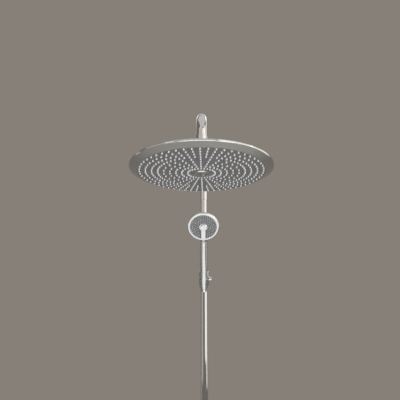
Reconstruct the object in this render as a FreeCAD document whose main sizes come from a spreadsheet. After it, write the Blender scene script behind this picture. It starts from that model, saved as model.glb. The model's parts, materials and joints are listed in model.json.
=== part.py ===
import FreeCAD, Part
import math
import os
import types

import Sketcher

# Wall-mounted thermostatic shower system. The wall is the plane y = 0 and the room lies on the -Y side.
# The origin is the point of the wall midway between the two water inlets, +X runs to the right of somebody
# who faces the wall, and +Z runs up. Lengths are in millimetres and angles in degrees.

SIZES = {
    # Layout on the wall
    "inlet_pitch": 150.0,
    "wall_to_axis": 66.0,
    "union_rise": 6.0,
    "arm_height": 1110.0,
    "arm_reach": 450.0,
    "bracket_drop": 172.0,
    "slider_drop": 350.0,
    # Clearances between pieces
    "running_clearance": 0.05,
    "fit_clearance": 0.1,
    "loose_clearance": 0.3,
    "overrun": 2.0,
    # Pipe threads, as plain cylinders of their major radius
    "half_inch_radius": 10.48,
    "three_quarter_radius": 13.2,
    # Mixer body
    "mixer_radius": 21.0,
    "mixer_length": 184.0,
    "mixer_round": 1.2,
    "cartridge_bore_radius": 16.0,
    "cartridge_bore_depth": 62.0,
    "mixed_passage_radius": 7.0,
    "riser_boss_height": 16.0,
    "riser_passage_radius": 8.0,
    "stub_end_to_wall": 28.0,
    "stub_bore_radius": 9.0,
    "hose_outlet_shift": 46.0,
    "hose_outlet_collar_radius": 14.0,
    "hose_outlet_collar_height": 5.0,
    "hose_outlet_thread_length": 12.0,
    "hose_outlet_bore_radius": 6.0,
    # Wall unions, their nuts, washers and rosettes
    "union_depth_in_wall": 20.0,
    "union_hub_radius": 14.0,
    "union_hub_length": 8.0,
    "union_hub_wall": 2.0,
    "union_neck_radius": 10.5,
    "union_collar_radius": 12.3,
    "union_collar_length": 3.0,
    "union_bore_radius": 7.5,
    "washer_thickness": 2.5,
    "washer_hole_radius": 1.4,
    "washer_hole_circle_radius": 4.4,
    "nut_corner_radius": 17.3,
    "nut_chamfer": 1.5,
    "nut_lip_length": 3.0,
    "nut_length": 20.0,
    "rosette_radius": 32.0,
    "rosette_edge": 2.0,
    "rosette_depth": 11.0,
    "rosette_shoulder_radius": 23.0,
    "rosette_wall": 1.8,
    "rosette_round": 1.5,
    # Check valves in the inlet stubs
    "cage_wall": 2.0,
    "cage_length": 12.0,
    "cage_seat_radius": 4.4,
    "cage_guide_length": 1.5,
    "cage_port_radius": 1.3,
    "cage_port_circle_radius": 4.6,
    "poppet_radius": 5.4,
    "poppet_thickness": 1.6,
    "poppet_stem_radius": 1.5,
    "valve_spring_radius": 2.9,
    "valve_spring_wire_radius": 0.55,
    "valve_spring_pitch": 2.4,
    # Cartridges in both ends of the mixer
    "cartridge_sleeve_bore_radius": 9.0,
    "cartridge_floor": 2.0,
    "cartridge_waist_radius": 13.5,
    "cartridge_waist_half_length": 9.0,
    "cartridge_flange_radius": 19.0,
    "cartridge_flange_length": 4.0,
    "cartridge_nose_radius": 14.0,
    "cartridge_nose_length": 8.0,
    "cartridge_head_length": 14.0,
    "cartridge_port_radius": 3.0,
    "cartridge_port_gap": 8.0,
    "spindle_radius": 5.0,
    "spindle_flange_radius": 8.5,
    "spindle_flange_length": 8.0,
    "spindle_end_length": 9.0,
    "flow_spindle_radius": 7.0,
    "element_length": 24.0,
    "element_tail_radius": 3.5,
    "element_tail_length": 5.0,
    "element_gap": 2.0,
    "element_spring_radius": 7.4,
    "element_spring_wire_radius": 0.7,
    "element_spring_pitch": 2.7,
    "element_spring_length": 7.0,
    "disc_thickness": 4.0,
    "disc_port_radius": 2.0,
    "disc_port_shift": 5.0,
    "stop_ring_radius": 17.4,
    "stop_ring_length": 5.0,
    "stop_lug_height": 1.8,
    "stop_lug_width": 5.0,
    # Handles of the mixer
    "handle_radius": 22.5,
    "handle_wall": 2.2,
    "handle_length": 46.0,
    "handle_end_wall": 3.0,
    "handle_gap": 1.5,
    "handle_round": 1.6,
    "handle_hub_radius": 8.0,
    "handle_hub_gap": 1.0,
    "flute_radius": 1.5,
    "flute_depth": 0.7,
    "flute_inset": 8.0,
    "stop_button_radius": 4.0,
    "stop_button_rise": 2.4,
    "stop_button_inset": 14.0,
    "stop_button_flange_width": 1.2,
    "stop_button_flange_length": 1.2,
    "stop_button_flange_gap": 1.0,
    # Riser pipe, its nut and its seal
    "riser_radius": 11.0,
    "riser_wall": 1.0,
    "riser_flange_radius": 12.8,
    "riser_flange_length": 2.5,
    "seal_thickness": 1.5,
    "riser_nut_radius": 16.5,
    "riser_nut_length": 21.0,
    "riser_nut_lip": 3.0,
    "riser_nut_round": 1.0,
    # Wall bracket of the riser
    "bracket_base_radius": 14.0,
    "bracket_base_thickness": 6.0,
    "bracket_stud_radius": 8.0,
    "bracket_stud_length": 10.0,
    "bracket_rosette_radius": 25.0,
    "bracket_rosette_edge": 2.0,
    "bracket_rosette_shoulder_radius": 19.0,
    "bracket_arm_radius": 11.0,
    "bracket_ring_wall": 4.0,
    "bracket_ring_height": 24.0,
    "bracket_ring_round": 1.0,
    "screw_thread_radius": 2.4,
    "screw_shank_radius": 1.9,
    "screw_head_radius": 4.6,
    "screw_head_length": 2.6,
    "screw_depth_in_wall": 34.0,
    # Swivel at the top of the riser
    "socket_radius": 12.4,
    "socket_round": 0.8,
    "socket_overlap": 12.0,
    "socket_step": 2.0,
    "socket_step_radius": 8.0,
    "socket_depth": 22.0,
    "spigot_radius": 9.55,
    "spigot_length": 20.0,
    "spigot_flange_length": 1.2,
    "spigot_root_length": 12.0,
    "spigot_bore_radius": 7.0,
    "seal_groove_depth": 1.3,
    "seal_groove_half_width": 1.3,
    "seal_inset": 4.0,
    "seal_spacing": 12.0,
    "lock_groove_depth": 1.0,
    "lock_groove_half_width": 2.3,
    "lock_screw_radius": 2.0,
    # Overhead arm
    "arm_radius": 11.0,
    "arm_wall": 1.2,
    "arm_rear_bend": 36.0,
    "arm_front_bend": 55.0,
    "arm_rear_leg": 15.0,
    "arm_front_leg": 25.0,
    "sleeve_radius": 12.5,
    "sleeve_lap": 17.0,
    "sleeve_thread_length": 10.5,
    "sleeve_round": 0.8,
    # Ball joint of the rain head
    "ball_radius": 13.0,
    "ball_neck_radius": 8.0,
    "ball_bore_radius": 4.5,
    "ball_flat": 11.0,
    "neck_gap": 15.5,
    "stud_thread_radius": 10.2,
    "seat_radius": 15.0,
    "seat_below": 7.0,
    "seat_room": 2.3,
    "seat_above": 6.0,
    "ball_nut_radius": 18.6,
    "ball_nut_top": 11.0,
    "ball_nut_skirt": 17.0,
    "ball_nut_thread_top": 1.0,
    "ball_nut_mouth_radius": 12.2,
    "ball_nut_round": 1.0,
    # Rain head, with drops measured down from the middle of the ball
    "rim_radius": 150.0,
    "rim_drop": 34.0,
    "rim_band": 2.6,
    "rim_slope_drop": 6.0,
    "rim_round": 1.0,
    "rim_width": 15.0,
    "face_lip_width": 2.0,
    "face_lip_thickness": 1.2,
    "face_thickness": 2.5,
    "neck_radius": 16.0,
    "neck_bore_radius": 6.0,
    "neck_floor_drop": 27.0,
    "cover_neck_radius": 20.0,
    "cover_shoulder_radius": 27.0,
    "cover_shoulder_drop": 24.0,
    "cover_middle_drop": 27.5,
    "cover_edge_drop": 31.0,
    "cover_wall": 2.0,
    "cover_inner_edge_drop": 32.6,
    "cover_round": 0.8,
    "mat_thickness": 1.8,
    "chamber_depth": 2.0,
    "chamber_seal_width": 4.0,
    "water_plate_margin": 4.0,
    "water_plate_thickness": 2.0,
    "water_port_radius": 3.0,
    "water_port_circle_radius": 60.0,
    "head_screw_radius": 1.4,
    "head_screw_head_radius": 2.8,
    "head_screw_head_length": 1.2,
    "head_screw_bite": 1.2,
    "hub_radius": 15.0,
    "hub_height": 3.2,
    "hub_bevel": 2.4,
    "hub_stem_radius": 5.6,
    "hub_tip_radius": 3.9,
    "strainer_radius": 8.0,
    "strainer_thickness": 2.4,
    "strainer_hole_radius": 1.1,
    "strainer_hole_circle_radius": 3.6,
    # Nozzles of the rain head
    "nozzle_first_radius": 29.0,
    "nozzle_margin": 6.0,
    "nozzle_root_radius": 2.0,
    "nozzle_tip_radius": 1.5,
    "nozzle_rise": 2.6,
    "nozzle_hole_radius": 2.25,
    # Slider on the riser
    "bush_wall": 1.9,
    "bush_length": 48.0,
    "bush_flange_radius": 15.4,
    "bush_flange_length": 1.8,
    "slider_radius": 16.5,
    "slider_round": 1.2,
    "pivot_shift": 28.0,
    "ear_half_width": 10.0,
    "ear_radius": 9.0,
    "tongue_half_width": 6.0,
    "tongue_radius": 8.6,
    "slot_start": 17.6,
    "pin_radius": 2.95,
    "pin_head_radius": 4.6,
    "pin_head_length": 1.6,
    "release_button_radius": 6.0,
    "release_button_start": 17.9,
    "release_button_reach": 24.0,
    "release_pocket_start": 14.6,
    "release_collar_radius": 8.0,
    "release_collar_reach": 20.5,
    "release_round": 0.8,
    # Hand holder
    "cone_shift": 24.0,
    "cone_half_height": 14.0,
    "cone_top_radius": 12.6,
    "cone_bottom_radius": 11.0,
    "holder_wall": 3.2,
    "holder_slot_half_width": 8.5,
    "holder_web_half_height": 7.0,
    # Hand shower
    "cone_tail": 3.0,
    "cone_tail_radius": 10.53,
    "grip_start": 40.0,
    "grip_radius": 11.4,
    "grip_top_height": 168.0,
    "grip_top_radius": 9.8,
    "grip_bore_radius": 7.5,
    "nipple_thread_length": 12.0,
    "nipple_insert_length": 14.0,
    "nipple_bore_radius": 5.5,
    "hand_head_rise": 20.0,
    "hand_head_shift": 22.0,
    "hand_ring_radius": 46.0,
    "hand_ring_height": 4.0,
    "hand_ring_lip": 1.0,
    "hand_ring_bevel": 2.2,
    "hand_face_radius": 39.5,
    "hand_face_thickness": 2.4,
    "hand_back_height": 21.0,
    "hand_back_flat_radius": 15.0,
    "hand_back_shoulder_radius": 41.0,
    "hand_back_shoulder_height": 10.0,
    "hand_wall": 2.0,
    "hand_mat_thickness": 1.6,
    "hand_mat_edge": 1.0,
    "hand_nozzle_first_radius": 15.5,
    "hand_nozzle_pitch": 5.2,
    "hand_nozzle_root_radius": 1.2,
    "hand_nozzle_tip_radius": 0.8,
    "hand_nozzle_hole_radius": 1.4,
    "hand_nozzle_rise": 1.8,
    "bridge_half_width": 6.0,
    "bridge_rise": 2.4,
    "bridge_collar_radius": 12.0,
    "bridge_margin": 1.0,
    "select_radius": 9.0,
    "select_rise": 2.8,
    "select_depth": 7.0,
}

COUNTS = {
    "nozzle_row_count": 28,
    "nozzle_ring_count": 9,
    "nozzle_short_ring_count": 4,
    "rings_inside_screws_count": 6,
    "hand_nozzle_ring_count": 5,
    "hand_nozzle_first_count": 12,
    "hand_nozzle_more_count": 6,
    "flute_count": 36,
    "head_screw_count": 6,
    "water_port_count": 12,
    "strainer_hole_count": 6,
    "washer_hole_count": 6,
    "cage_port_count": 4,
}

ANGLES = {
    "holder_lean_angle": 30.0,
    "hand_head_lean_angle": 10.0,
}

document = FreeCAD.newDocument("ShowerSystem")
sheet = document.addObject("Spreadsheet::Sheet", "Sizes")
for row, (alias, number) in enumerate({**SIZES, **COUNTS, **ANGLES}.items(), start=1):
    sheet.set(f"A{row}", alias)
    sheet.set(f"B{row}", str(number))
    sheet.setAlias(f"B{row}", alias)
document.recompute()


class Size:
    """A length or angle: its number now, and the formula that follows the spreadsheet."""

    def __init__(self, number, formula):
        self.number = number
        self.formula = formula

    def __add__(self, other):
        other = sized(other)
        return Size(self.number + other.number, f"({self.formula} + {other.formula})")

    def __sub__(self, other):
        other = sized(other)
        return Size(self.number - other.number, f"({self.formula} - {other.formula})")

    def __mul__(self, factor):
        factor = sized(factor)
        return Size(self.number * factor.number, f"({self.formula} * {factor.formula})")

    def __truediv__(self, divisor):
        divisor = sized(divisor)
        return Size(self.number / divisor.number, f"({self.formula} / {divisor.formula})")

    def __neg__(self):
        return Size(-self.number, f"(-{self.formula})")


def sized(value):
    """A plain number becomes a size, so that sums can mix the two."""
    return value if isinstance(value, Size) else Size(float(value), f"({value})")


def cosine(angle):
    return Size(math.cos(math.radians(angle.number)), f"cos({angle.formula})")


def sine(angle):
    return Size(math.sin(math.radians(angle.number)), f"sin({angle.formula})")


d = types.SimpleNamespace(**{
    name: Size(float(sheet.get(name)), f"Sizes.{name}") for name in {**SIZES, **ANGLES}
})
count = types.SimpleNamespace(**{name: int(float(sheet.get(name))) for name in COUNTS})

ZERO = Size(0.0, "0")
ORIGIN = (ZERO, ZERO, ZERO)
FULL_TURN = 360.0
UPRIGHT = FreeCAD.Rotation()
TO_RIGHT = FreeCAD.Rotation(FreeCAD.Vector(0, 1, 0), 90)
TO_LEFT = FreeCAD.Rotation(FreeCAD.Vector(0, 1, 0), -90)
TO_ROOM = FreeCAD.Rotation(FreeCAD.Vector(1, 0, 0), 90)
TO_WALL = FreeCAD.Rotation(FreeCAD.Vector(1, 0, 0), -90)
DOWNWARD = FreeCAD.Rotation(FreeCAD.Vector(1, 0, 0), 180)

# Each named piece, in the order in which it is made
pieces = {}


def vector(at):
    return FreeCAD.Vector(*(distance.number for distance in at))


def bind(item, **properties):
    for name, size in properties.items():
        setattr(item, name, size.number)
        item.setExpression(name, size.formula)


def place(item, at=ORIGIN, turn=UPRIGHT):
    item.Placement = FreeCAD.Placement(vector(at), turn)
    for axis, distance in zip("xyz", at):
        item.setExpression(f"Placement.Base.{axis}", distance.formula)
    return item


def cylinder(radius, height, at=ORIGIN, turn=UPRIGHT):
    item = document.addObject("Part::Cylinder", "Cylinder")
    bind(item, Radius=radius, Height=height)
    return place(item, at, turn)


def cone(bottom_radius, top_radius, height, at=ORIGIN, turn=UPRIGHT):
    item = document.addObject("Part::Cone", "Cone")
    bind(item, Radius1=bottom_radius, Radius2=top_radius, Height=height)
    return place(item, at, turn)


def sphere(radius, at=ORIGIN):
    item = document.addObject("Part::Sphere", "Sphere")
    bind(item, Radius=radius)
    return place(item, at)


def torus(ring_radius, wire_radius, at=ORIGIN):
    item = document.addObject("Part::Torus", "Torus")
    bind(item, Radius1=ring_radius, Radius2=wire_radius)
    return place(item, at)


def block(low, high):
    """A box between two corners."""
    item = document.addObject("Part::Box", "Box")
    bind(item, Length=high[0] - low[0], Width=high[1] - low[1], Height=high[2] - low[2])
    return place(item, low)


def hexagon(corner_radius, height, at=ORIGIN, turn=UPRIGHT):
    item = document.addObject("Part::Prism", "Hexagon")
    item.Polygon = 6
    bind(item, Circumradius=corner_radius, Height=height)
    return place(item, at, turn)


def joined(*shapes):
    if len(shapes) == 1:
        return shapes[0]
    item = document.addObject("Part::MultiFuse", "Joined")
    item.Shapes = list(shapes)
    return item


def without(base, *tools):
    item = document.addObject("Part::Cut", "Cut")
    item.Base = base
    item.Tool = joined(*tools)
    return item


def shared(first, second):
    item = document.addObject("Part::Common", "Common")
    item.Base = first
    item.Tool = second
    return item


def mirrored(shape):
    """The same piece on the other side of the middle plane x = 0."""
    item = document.addObject("Part::Mirroring", "Mirrored")
    item.Source = shape
    item.Normal = FreeCAD.Vector(1, 0, 0)
    return item


def group(shapes):
    """Separate solids that share one node."""
    item = document.addObject("Part::Compound", "Group")
    item.Links = list(shapes)
    return item


def origin_plane(body, role):
    return next(feature for feature in body.Origin.OriginFeatures if feature.Role == role)


def pin_corner(sketch, line, across, up):
    """Ties the start of a line to its two bound coordinates."""
    for kind, size, axis in (("DistanceX", across, -2), ("DistanceY", up, -1)):
        if size.number == 0:
            sketch.addConstraint(Sketcher.Constraint("PointOnObject", line, 1, axis))
        else:
            number = sketch.addConstraint(Sketcher.Constraint(kind, -1, 1, line, 1, size.number))
            sketch.setExpression(f"Constraints[{number}]", size.formula)


def turned(outline, at=ORIGIN, turn=UPRIGHT, rounds=()):
    """A body of revolution about its own Z axis. The outline's corners are (radius, height) pairs.
    The rounds are (radius, height, size of the rounding) for the circular edges that are eased."""
    body = document.addObject("PartDesign::Body", "Turned")
    sketch = body.newObject("Sketcher::SketchObject", "Outline")
    sketch.AttachmentSupport = [(origin_plane(body, "XZ_Plane"), "")]
    sketch.MapMode = "FlatFace"
    corners = [FreeCAD.Vector(across.number, up.number, 0) for across, up in outline]
    following = corners[1:] + corners[:1]
    sketch.addGeometry([Part.LineSegment(*ends) for ends in zip(corners, following)], False)
    for line, (across, up) in enumerate(outline):
        following_line = (line + 1) % len(outline)
        sketch.addConstraint(Sketcher.Constraint("Coincident", line, 2, following_line, 1))
        pin_corner(sketch, line, across, up)
    revolution = body.newObject("PartDesign::Revolution", "Revolution")
    revolution.Profile = sketch
    revolution.ReferenceAxis = (sketch, ["V_Axis"])
    revolution.Angle = FULL_TURN
    last = revolution
    if rounds:
        document.recompute()
    for radius, height, size in rounds:
        edges = circle_edges(last, radius.number, height.number)
        fillet = body.newObject("PartDesign::Fillet", "Round")
        fillet.Base = (last, edges)
        bind(fillet, Radius=size)
        document.recompute()
        last = fillet
    body.Tip = last
    return place(body, at, turn)


def circle_edges(feature, radius, height):
    """Names of the circular edges of that radius at that height."""
    near = 1e-4
    return [
        f"Edge{number}"
        for number, edge in enumerate(feature.Shape.Edges, start=1)
        if edge.Curve.TypeId == "Part::GeomCircle"
        and abs(edge.Curve.Radius - radius) < near
        and abs(edge.Curve.Center.z - height) < near
    ]


def fixed_shape(shape, at=ORIGIN, turn=UPRIGHT):
    """A pattern of many small solids, made from the sheet's sizes."""
    item = document.addObject("Part::Feature", "Pattern")
    item.Shape = shape
    return place(item, at, turn)


def ring_angles(places, first=0.0):
    return [first + FULL_TURN * number / places for number in range(places)]


def on_circle(radius, angle, height=ZERO):
    """The point of a circle about Z at that angle."""
    angle = sized(angle)
    return (radius * cosine(angle), radius * sine(angle), height)


def piece(name, item, at=None, turn=UPRIGHT):
    """Gives a finished sub-part its name and, if it was made in a frame of its own, its place."""
    item.Label = name
    if at is not None:
        place(item, at, turn)
    pieces[name] = item
    return item


# Sizes that several pieces share

half_pitch = d.inlet_pitch / 2
half_mixer = d.mixer_length / 2
mixer_at = (ZERO, -d.wall_to_axis, d.union_rise)
bore_start = half_mixer - d.cartridge_bore_depth
cartridge_radius = d.cartridge_bore_radius - d.fit_clearance
cartridge_tip = half_mixer + d.cartridge_flange_length + d.cartridge_nose_length
cartridge_head_start = cartridge_tip - d.cartridge_head_length
spindle_end = cartridge_tip + d.spindle_end_length
handle_start = half_mixer + d.handle_gap
thread_bore_radius = d.three_quarter_radius + d.fit_clearance
riser_bore_radius = d.riser_radius + d.fit_clearance


# Mixer body with its two inlet stubs, the boss of the riser and the hose outlet

barrel = turned(
    [(ZERO, -half_mixer), (d.mixer_radius, -half_mixer), (d.mixer_radius, half_mixer), (ZERO, half_mixer)],
    turn=TO_RIGHT,
    rounds=[(d.mixer_radius, half_mixer, d.mixer_round), (d.mixer_radius, -half_mixer, d.mixer_round)],
)
stub_length = d.wall_to_axis - d.stub_end_to_wall
boss_top = d.mixer_radius + d.riser_boss_height
outlet_collar_end = d.mixer_radius + d.hose_outlet_collar_height
outlet_end = outlet_collar_end + d.hose_outlet_thread_length
outlet_at = (-d.hose_outlet_shift, ZERO, ZERO)
mixer_solid = joined(
    barrel,
    cylinder(d.three_quarter_radius, stub_length, (half_pitch, ZERO, ZERO), TO_WALL),
    cylinder(d.three_quarter_radius, stub_length, (-half_pitch, ZERO, ZERO), TO_WALL),
    cylinder(d.three_quarter_radius, boss_top),
    cylinder(d.hose_outlet_collar_radius, outlet_collar_end, outlet_at, DOWNWARD),
    cylinder(d.half_inch_radius, outlet_end, outlet_at, DOWNWARD),
)
cartridge_bore_length = d.cartridge_bore_depth + d.overrun
piece("mixer_body", without(
    mixer_solid,
    cylinder(d.cartridge_bore_radius, cartridge_bore_length, (bore_start, ZERO, ZERO), TO_RIGHT),
    cylinder(d.cartridge_bore_radius, cartridge_bore_length, (-bore_start, ZERO, ZERO), TO_LEFT),
    cylinder(d.mixed_passage_radius, bore_start * 2, (-bore_start, ZERO, ZERO), TO_RIGHT),
    cylinder(d.stub_bore_radius, stub_length + d.overrun, (half_pitch, ZERO, ZERO), TO_WALL),
    cylinder(d.stub_bore_radius, stub_length + d.overrun, (-half_pitch, ZERO, ZERO), TO_WALL),
    cylinder(d.riser_passage_radius, boss_top + d.overrun),
    cylinder(d.hose_outlet_bore_radius, outlet_end + d.overrun, outlet_at, DOWNWARD),
), mixer_at)


# Wall unions: a threaded tail in the wall, an eccentric hub and a neck with a collar for the nut

washer_back = d.stub_end_to_wall - d.washer_thickness
collar_back = washer_back - d.union_collar_length
nut_back = collar_back - d.nut_lip_length
nut_front = nut_back + d.nut_length
hub_front = d.rosette_depth - d.rosette_wall
hub_back = hub_front - d.union_hub_length
tail_length = d.union_depth_in_wall + hub_back
hub_at = (half_pitch, -hub_front, d.union_rise / 2)
neck_at = (half_pitch, -washer_back, d.union_rise)
union = without(
    joined(
        cylinder(d.half_inch_radius, tail_length, (half_pitch, -hub_back, ZERO), TO_WALL),
        cylinder(d.union_hub_radius, d.union_hub_length, hub_at, TO_WALL),
        cylinder(d.union_neck_radius, washer_back - hub_front, neck_at, TO_WALL),
        cylinder(d.union_collar_radius, d.union_collar_length, neck_at, TO_WALL),
    ),
    cylinder(
        d.union_bore_radius,
        d.union_depth_in_wall + hub_front - d.union_hub_wall + d.overrun,
        (half_pitch, d.union_hub_wall - hub_front, ZERO),
        TO_WALL,
    ),
    cylinder(
        d.union_bore_radius,
        washer_back - hub_back - d.union_hub_wall + d.overrun,
        (half_pitch, -washer_back - d.overrun, d.union_rise),
        TO_WALL,
    ),
)
piece("s_unions", group([union, mirrored(union)]))

nut_shape = without(
    shared(
        hexagon(d.nut_corner_radius, d.nut_length),
        turned([
            (ZERO, ZERO),
            (d.nut_corner_radius - d.nut_chamfer, ZERO),
            (d.nut_corner_radius, d.nut_chamfer),
            (d.nut_corner_radius, d.nut_length - d.nut_chamfer),
            (d.nut_corner_radius - d.nut_chamfer, d.nut_length),
            (ZERO, d.nut_length),
        ]),
    ),
    cylinder(thread_bore_radius, d.nut_length - d.nut_lip_length + d.overrun, (ZERO, ZERO, -d.overrun)),
    cylinder(d.union_neck_radius + d.fit_clearance, d.nut_length + d.overrun),
)
place(nut_shape, (half_pitch, -nut_front, d.union_rise), TO_WALL)
piece("union_nuts", group([nut_shape, mirrored(nut_shape)]))


def wall_rosette(radius, edge, shoulder_radius, depth, hole_radius):
    """A thin dish that hides a hole in the wall. Its own Z points into the room."""
    wall = d.rosette_wall
    return turned(
        [
            (radius, ZERO),
            (radius, edge),
            (shoulder_radius, depth),
            (hole_radius, depth),
            (hole_radius, depth - wall),
            (shoulder_radius - wall, depth - wall),
            (radius - wall, edge),
            (radius - wall, ZERO),
        ],
        rounds=[(shoulder_radius, depth, d.rosette_round)],
    )


rosette = wall_rosette(
    d.rosette_radius, d.rosette_edge, d.rosette_shoulder_radius, d.rosette_depth,
    d.union_neck_radius + d.loose_clearance,
)
place(rosette, (half_pitch, ZERO, d.union_rise), TO_ROOM)
piece("wall_rosettes", group([rosette, mirrored(rosette)]))


def holes_on_circle(number, circle_radius, hole_radius, start, length, first=0.0):
    """Bores parallel to Z, evenly spaced on a circle."""
    return [
        cylinder(hole_radius, length, on_circle(circle_radius, angle, start))
        for angle in ring_angles(number, first)
    ]


washer = without(
    cylinder(d.union_collar_radius, d.washer_thickness),
    cylinder(d.washer_hole_radius, d.washer_thickness + d.overrun * 2, (ZERO, ZERO, -d.overrun)),
    *holes_on_circle(
        count.washer_hole_count, d.washer_hole_circle_radius, d.washer_hole_radius,
        -d.overrun, d.washer_thickness + d.overrun * 2,
    ),
)
place(washer, (half_pitch, -d.stub_end_to_wall, d.union_rise), TO_WALL)
piece("filter_washers", group([washer, mirrored(washer)]))


# Check valves: a cage with a seat and a guide, a poppet on a stem and a spring. Z points into the room.

valve_at = (half_pitch, -d.stub_end_to_wall, d.union_rise)
cage_radius = d.stub_bore_radius - d.fit_clearance
cage_bore_radius = cage_radius - d.cage_wall
cage_seat_length = d.cage_wall
guide_start = d.cage_length - d.cage_guide_length
guide_radius = d.poppet_stem_radius + d.running_clearance
cage = without(
    turned([
        (d.cage_seat_radius, ZERO),
        (cage_radius, ZERO),
        (cage_radius, d.cage_length),
        (guide_radius, d.cage_length),
        (guide_radius, guide_start),
        (cage_bore_radius, guide_start),
        (cage_bore_radius, cage_seat_length),
        (d.cage_seat_radius, cage_seat_length),
    ]),
    *holes_on_circle(
        count.cage_port_count, d.cage_port_circle_radius, d.cage_port_radius,
        guide_start - d.overrun, d.cage_guide_length + d.overrun * 2,
    ),
)
place(cage, valve_at, TO_ROOM)
piece("check_valve_cages", group([cage, mirrored(cage)]))

poppet_back = cage_seat_length + d.poppet_thickness
poppet = turned(
    [
        (ZERO, cage_seat_length),
        (d.poppet_radius, cage_seat_length),
        (d.poppet_radius, poppet_back),
        (d.poppet_stem_radius, poppet_back),
        (d.poppet_stem_radius, d.cage_length),
        (ZERO, d.cage_length),
    ],
    valve_at,
    TO_ROOM,
)
piece("poppet_cold", poppet)
piece("poppet_hot", mirrored(poppet))


def coil(radius, wire_radius, pitch, length, at=ORIGIN, turn=UPRIGHT):
    """An open wire spring between two levels, length apart."""
    path = document.addObject("Part::Helix", "CoilPath")
    bind(path, Radius=radius, Pitch=pitch, Height=length - wire_radius * 2)
    wire = document.addObject("Part::Circle", "CoilWire")
    bind(wire, Radius=wire_radius)
    place(wire, (radius, ZERO, ZERO), TO_ROOM)
    item = document.addObject("Part::Sweep", "Coil")
    item.Sections = [wire]
    item.Spine = (path, [])
    item.Solid = True
    item.Frenet = True
    return place(item, at, turn)


valve_spring_length = guide_start - poppet_back
valve_spring = coil(
    d.valve_spring_radius, d.valve_spring_wire_radius, d.valve_spring_pitch, valve_spring_length,
    (half_pitch, -d.stub_end_to_wall - poppet_back - d.valve_spring_wire_radius, d.union_rise), TO_ROOM,
)
piece("valve_spring_cold", valve_spring)
piece("valve_spring_hot", mirrored(valve_spring))


# Cartridges. Z runs from the middle of the mixer outwards, to the right or to the left.

def cartridge(waist_start, turn):
    """A sleeve with a floor, a waist around its ports, a flange on the mixer's end and a nose."""
    floor_top = bore_start + d.cartridge_floor
    waist_end = half_pitch + d.cartridge_waist_half_length
    nose_start = half_mixer + d.cartridge_flange_length
    sleeve = turned([
        (d.mixed_passage_radius, bore_start),
        (cartridge_radius, bore_start),
        (cartridge_radius, waist_start),
        (d.cartridge_waist_radius, waist_start),
        (d.cartridge_waist_radius, waist_end),
        (cartridge_radius, waist_end),
        (cartridge_radius, half_mixer),
        (d.cartridge_flange_radius, half_mixer),
        (d.cartridge_flange_radius, nose_start),
        (d.cartridge_nose_radius, nose_start),
        (d.cartridge_nose_radius, cartridge_tip),
        (d.spindle_radius + d.running_clearance, cartridge_tip),
        (d.spindle_radius + d.running_clearance, cartridge_head_start),
        (d.cartridge_sleeve_bore_radius, cartridge_head_start),
        (d.cartridge_sleeve_bore_radius, floor_top),
        (d.mixed_passage_radius, floor_top),
    ])
    ports = []
    for level in (half_pitch, half_pitch - d.cartridge_port_gap):
        ports.append(cylinder(
            d.cartridge_port_radius, d.cartridge_bore_radius * 2,
            (-d.cartridge_bore_radius, ZERO, level), TO_RIGHT,
        ))
        ports.append(cylinder(
            d.cartridge_port_radius, d.cartridge_bore_radius * 2,
            (ZERO, -d.cartridge_bore_radius, level), TO_WALL,
        ))
    return place(without(sleeve, *ports), mixer_at, turn)


thermo_waist_start = half_pitch - d.cartridge_waist_half_length - d.cartridge_port_gap
piece("thermo_cartridge", cartridge(thermo_waist_start, TO_RIGHT))
piece("flow_cartridge", cartridge(bore_start + d.cartridge_head_length, TO_LEFT))

ring_start = half_mixer + d.cartridge_flange_length
lug_at = (-d.stop_ring_radius - d.stop_lug_height, -d.stop_lug_width / 2, ring_start)
ring_end = ring_start + d.stop_ring_length
lug_end = (-d.cartridge_nose_radius - d.fit_clearance * 2, d.stop_lug_width / 2, ring_end)
stop_ring = turned([
    (d.cartridge_nose_radius + d.fit_clearance, ring_start),
    (d.stop_ring_radius, ring_start),
    (d.stop_ring_radius, ring_start + d.stop_ring_length),
    (d.cartridge_nose_radius + d.fit_clearance, ring_start + d.stop_ring_length),
])
piece("temp_stop_ring", joined(stop_ring, block(lug_at, lug_end)), mixer_at, TO_RIGHT)

floor_top = bore_start + d.cartridge_floor
piece("thermo_spring", coil(
    d.element_spring_radius, d.element_spring_wire_radius, d.element_spring_pitch, d.element_spring_length,
    (floor_top + d.element_spring_wire_radius, -d.wall_to_axis, d.union_rise), TO_RIGHT,
))

element_start = floor_top + d.element_spring_length
element_end = element_start + d.element_length
element_radius = d.cartridge_sleeve_bore_radius - d.running_clearance
piece("thermo_element", turned(
    [
        (ZERO, element_start - d.element_tail_length),
        (d.element_tail_radius, element_start - d.element_tail_length),
        (d.element_tail_radius, element_start),
        (element_radius, element_start),
        (element_radius, element_end),
        (ZERO, element_end),
    ],
    mixer_at,
    TO_RIGHT,
))

piece("temp_spindle", turned(
    [
        (ZERO, element_end + d.element_gap),
        (d.spindle_radius, element_end + d.element_gap),
        (d.spindle_radius, cartridge_head_start - d.spindle_flange_length),
        (d.spindle_flange_radius, cartridge_head_start - d.spindle_flange_length),
        (d.spindle_flange_radius, cartridge_head_start),
        (d.spindle_radius, cartridge_head_start),
        (d.spindle_radius, spindle_end),
        (ZERO, spindle_end),
    ],
    mixer_at,
    TO_RIGHT,
))


# Ceramic discs and spindle of the flow side

def ceramic_disc(start):
    """A disc with two ports."""
    bores = [
        cylinder(d.disc_port_radius, d.disc_thickness + d.overrun * 2, (shift, ZERO, start - d.overrun))
        for shift in (d.disc_port_shift, -d.disc_port_shift)
    ]
    disc_radius = d.cartridge_sleeve_bore_radius - d.fit_clearance
    return without(cylinder(disc_radius, d.disc_thickness, (ZERO, ZERO, start)), *bores)


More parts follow.
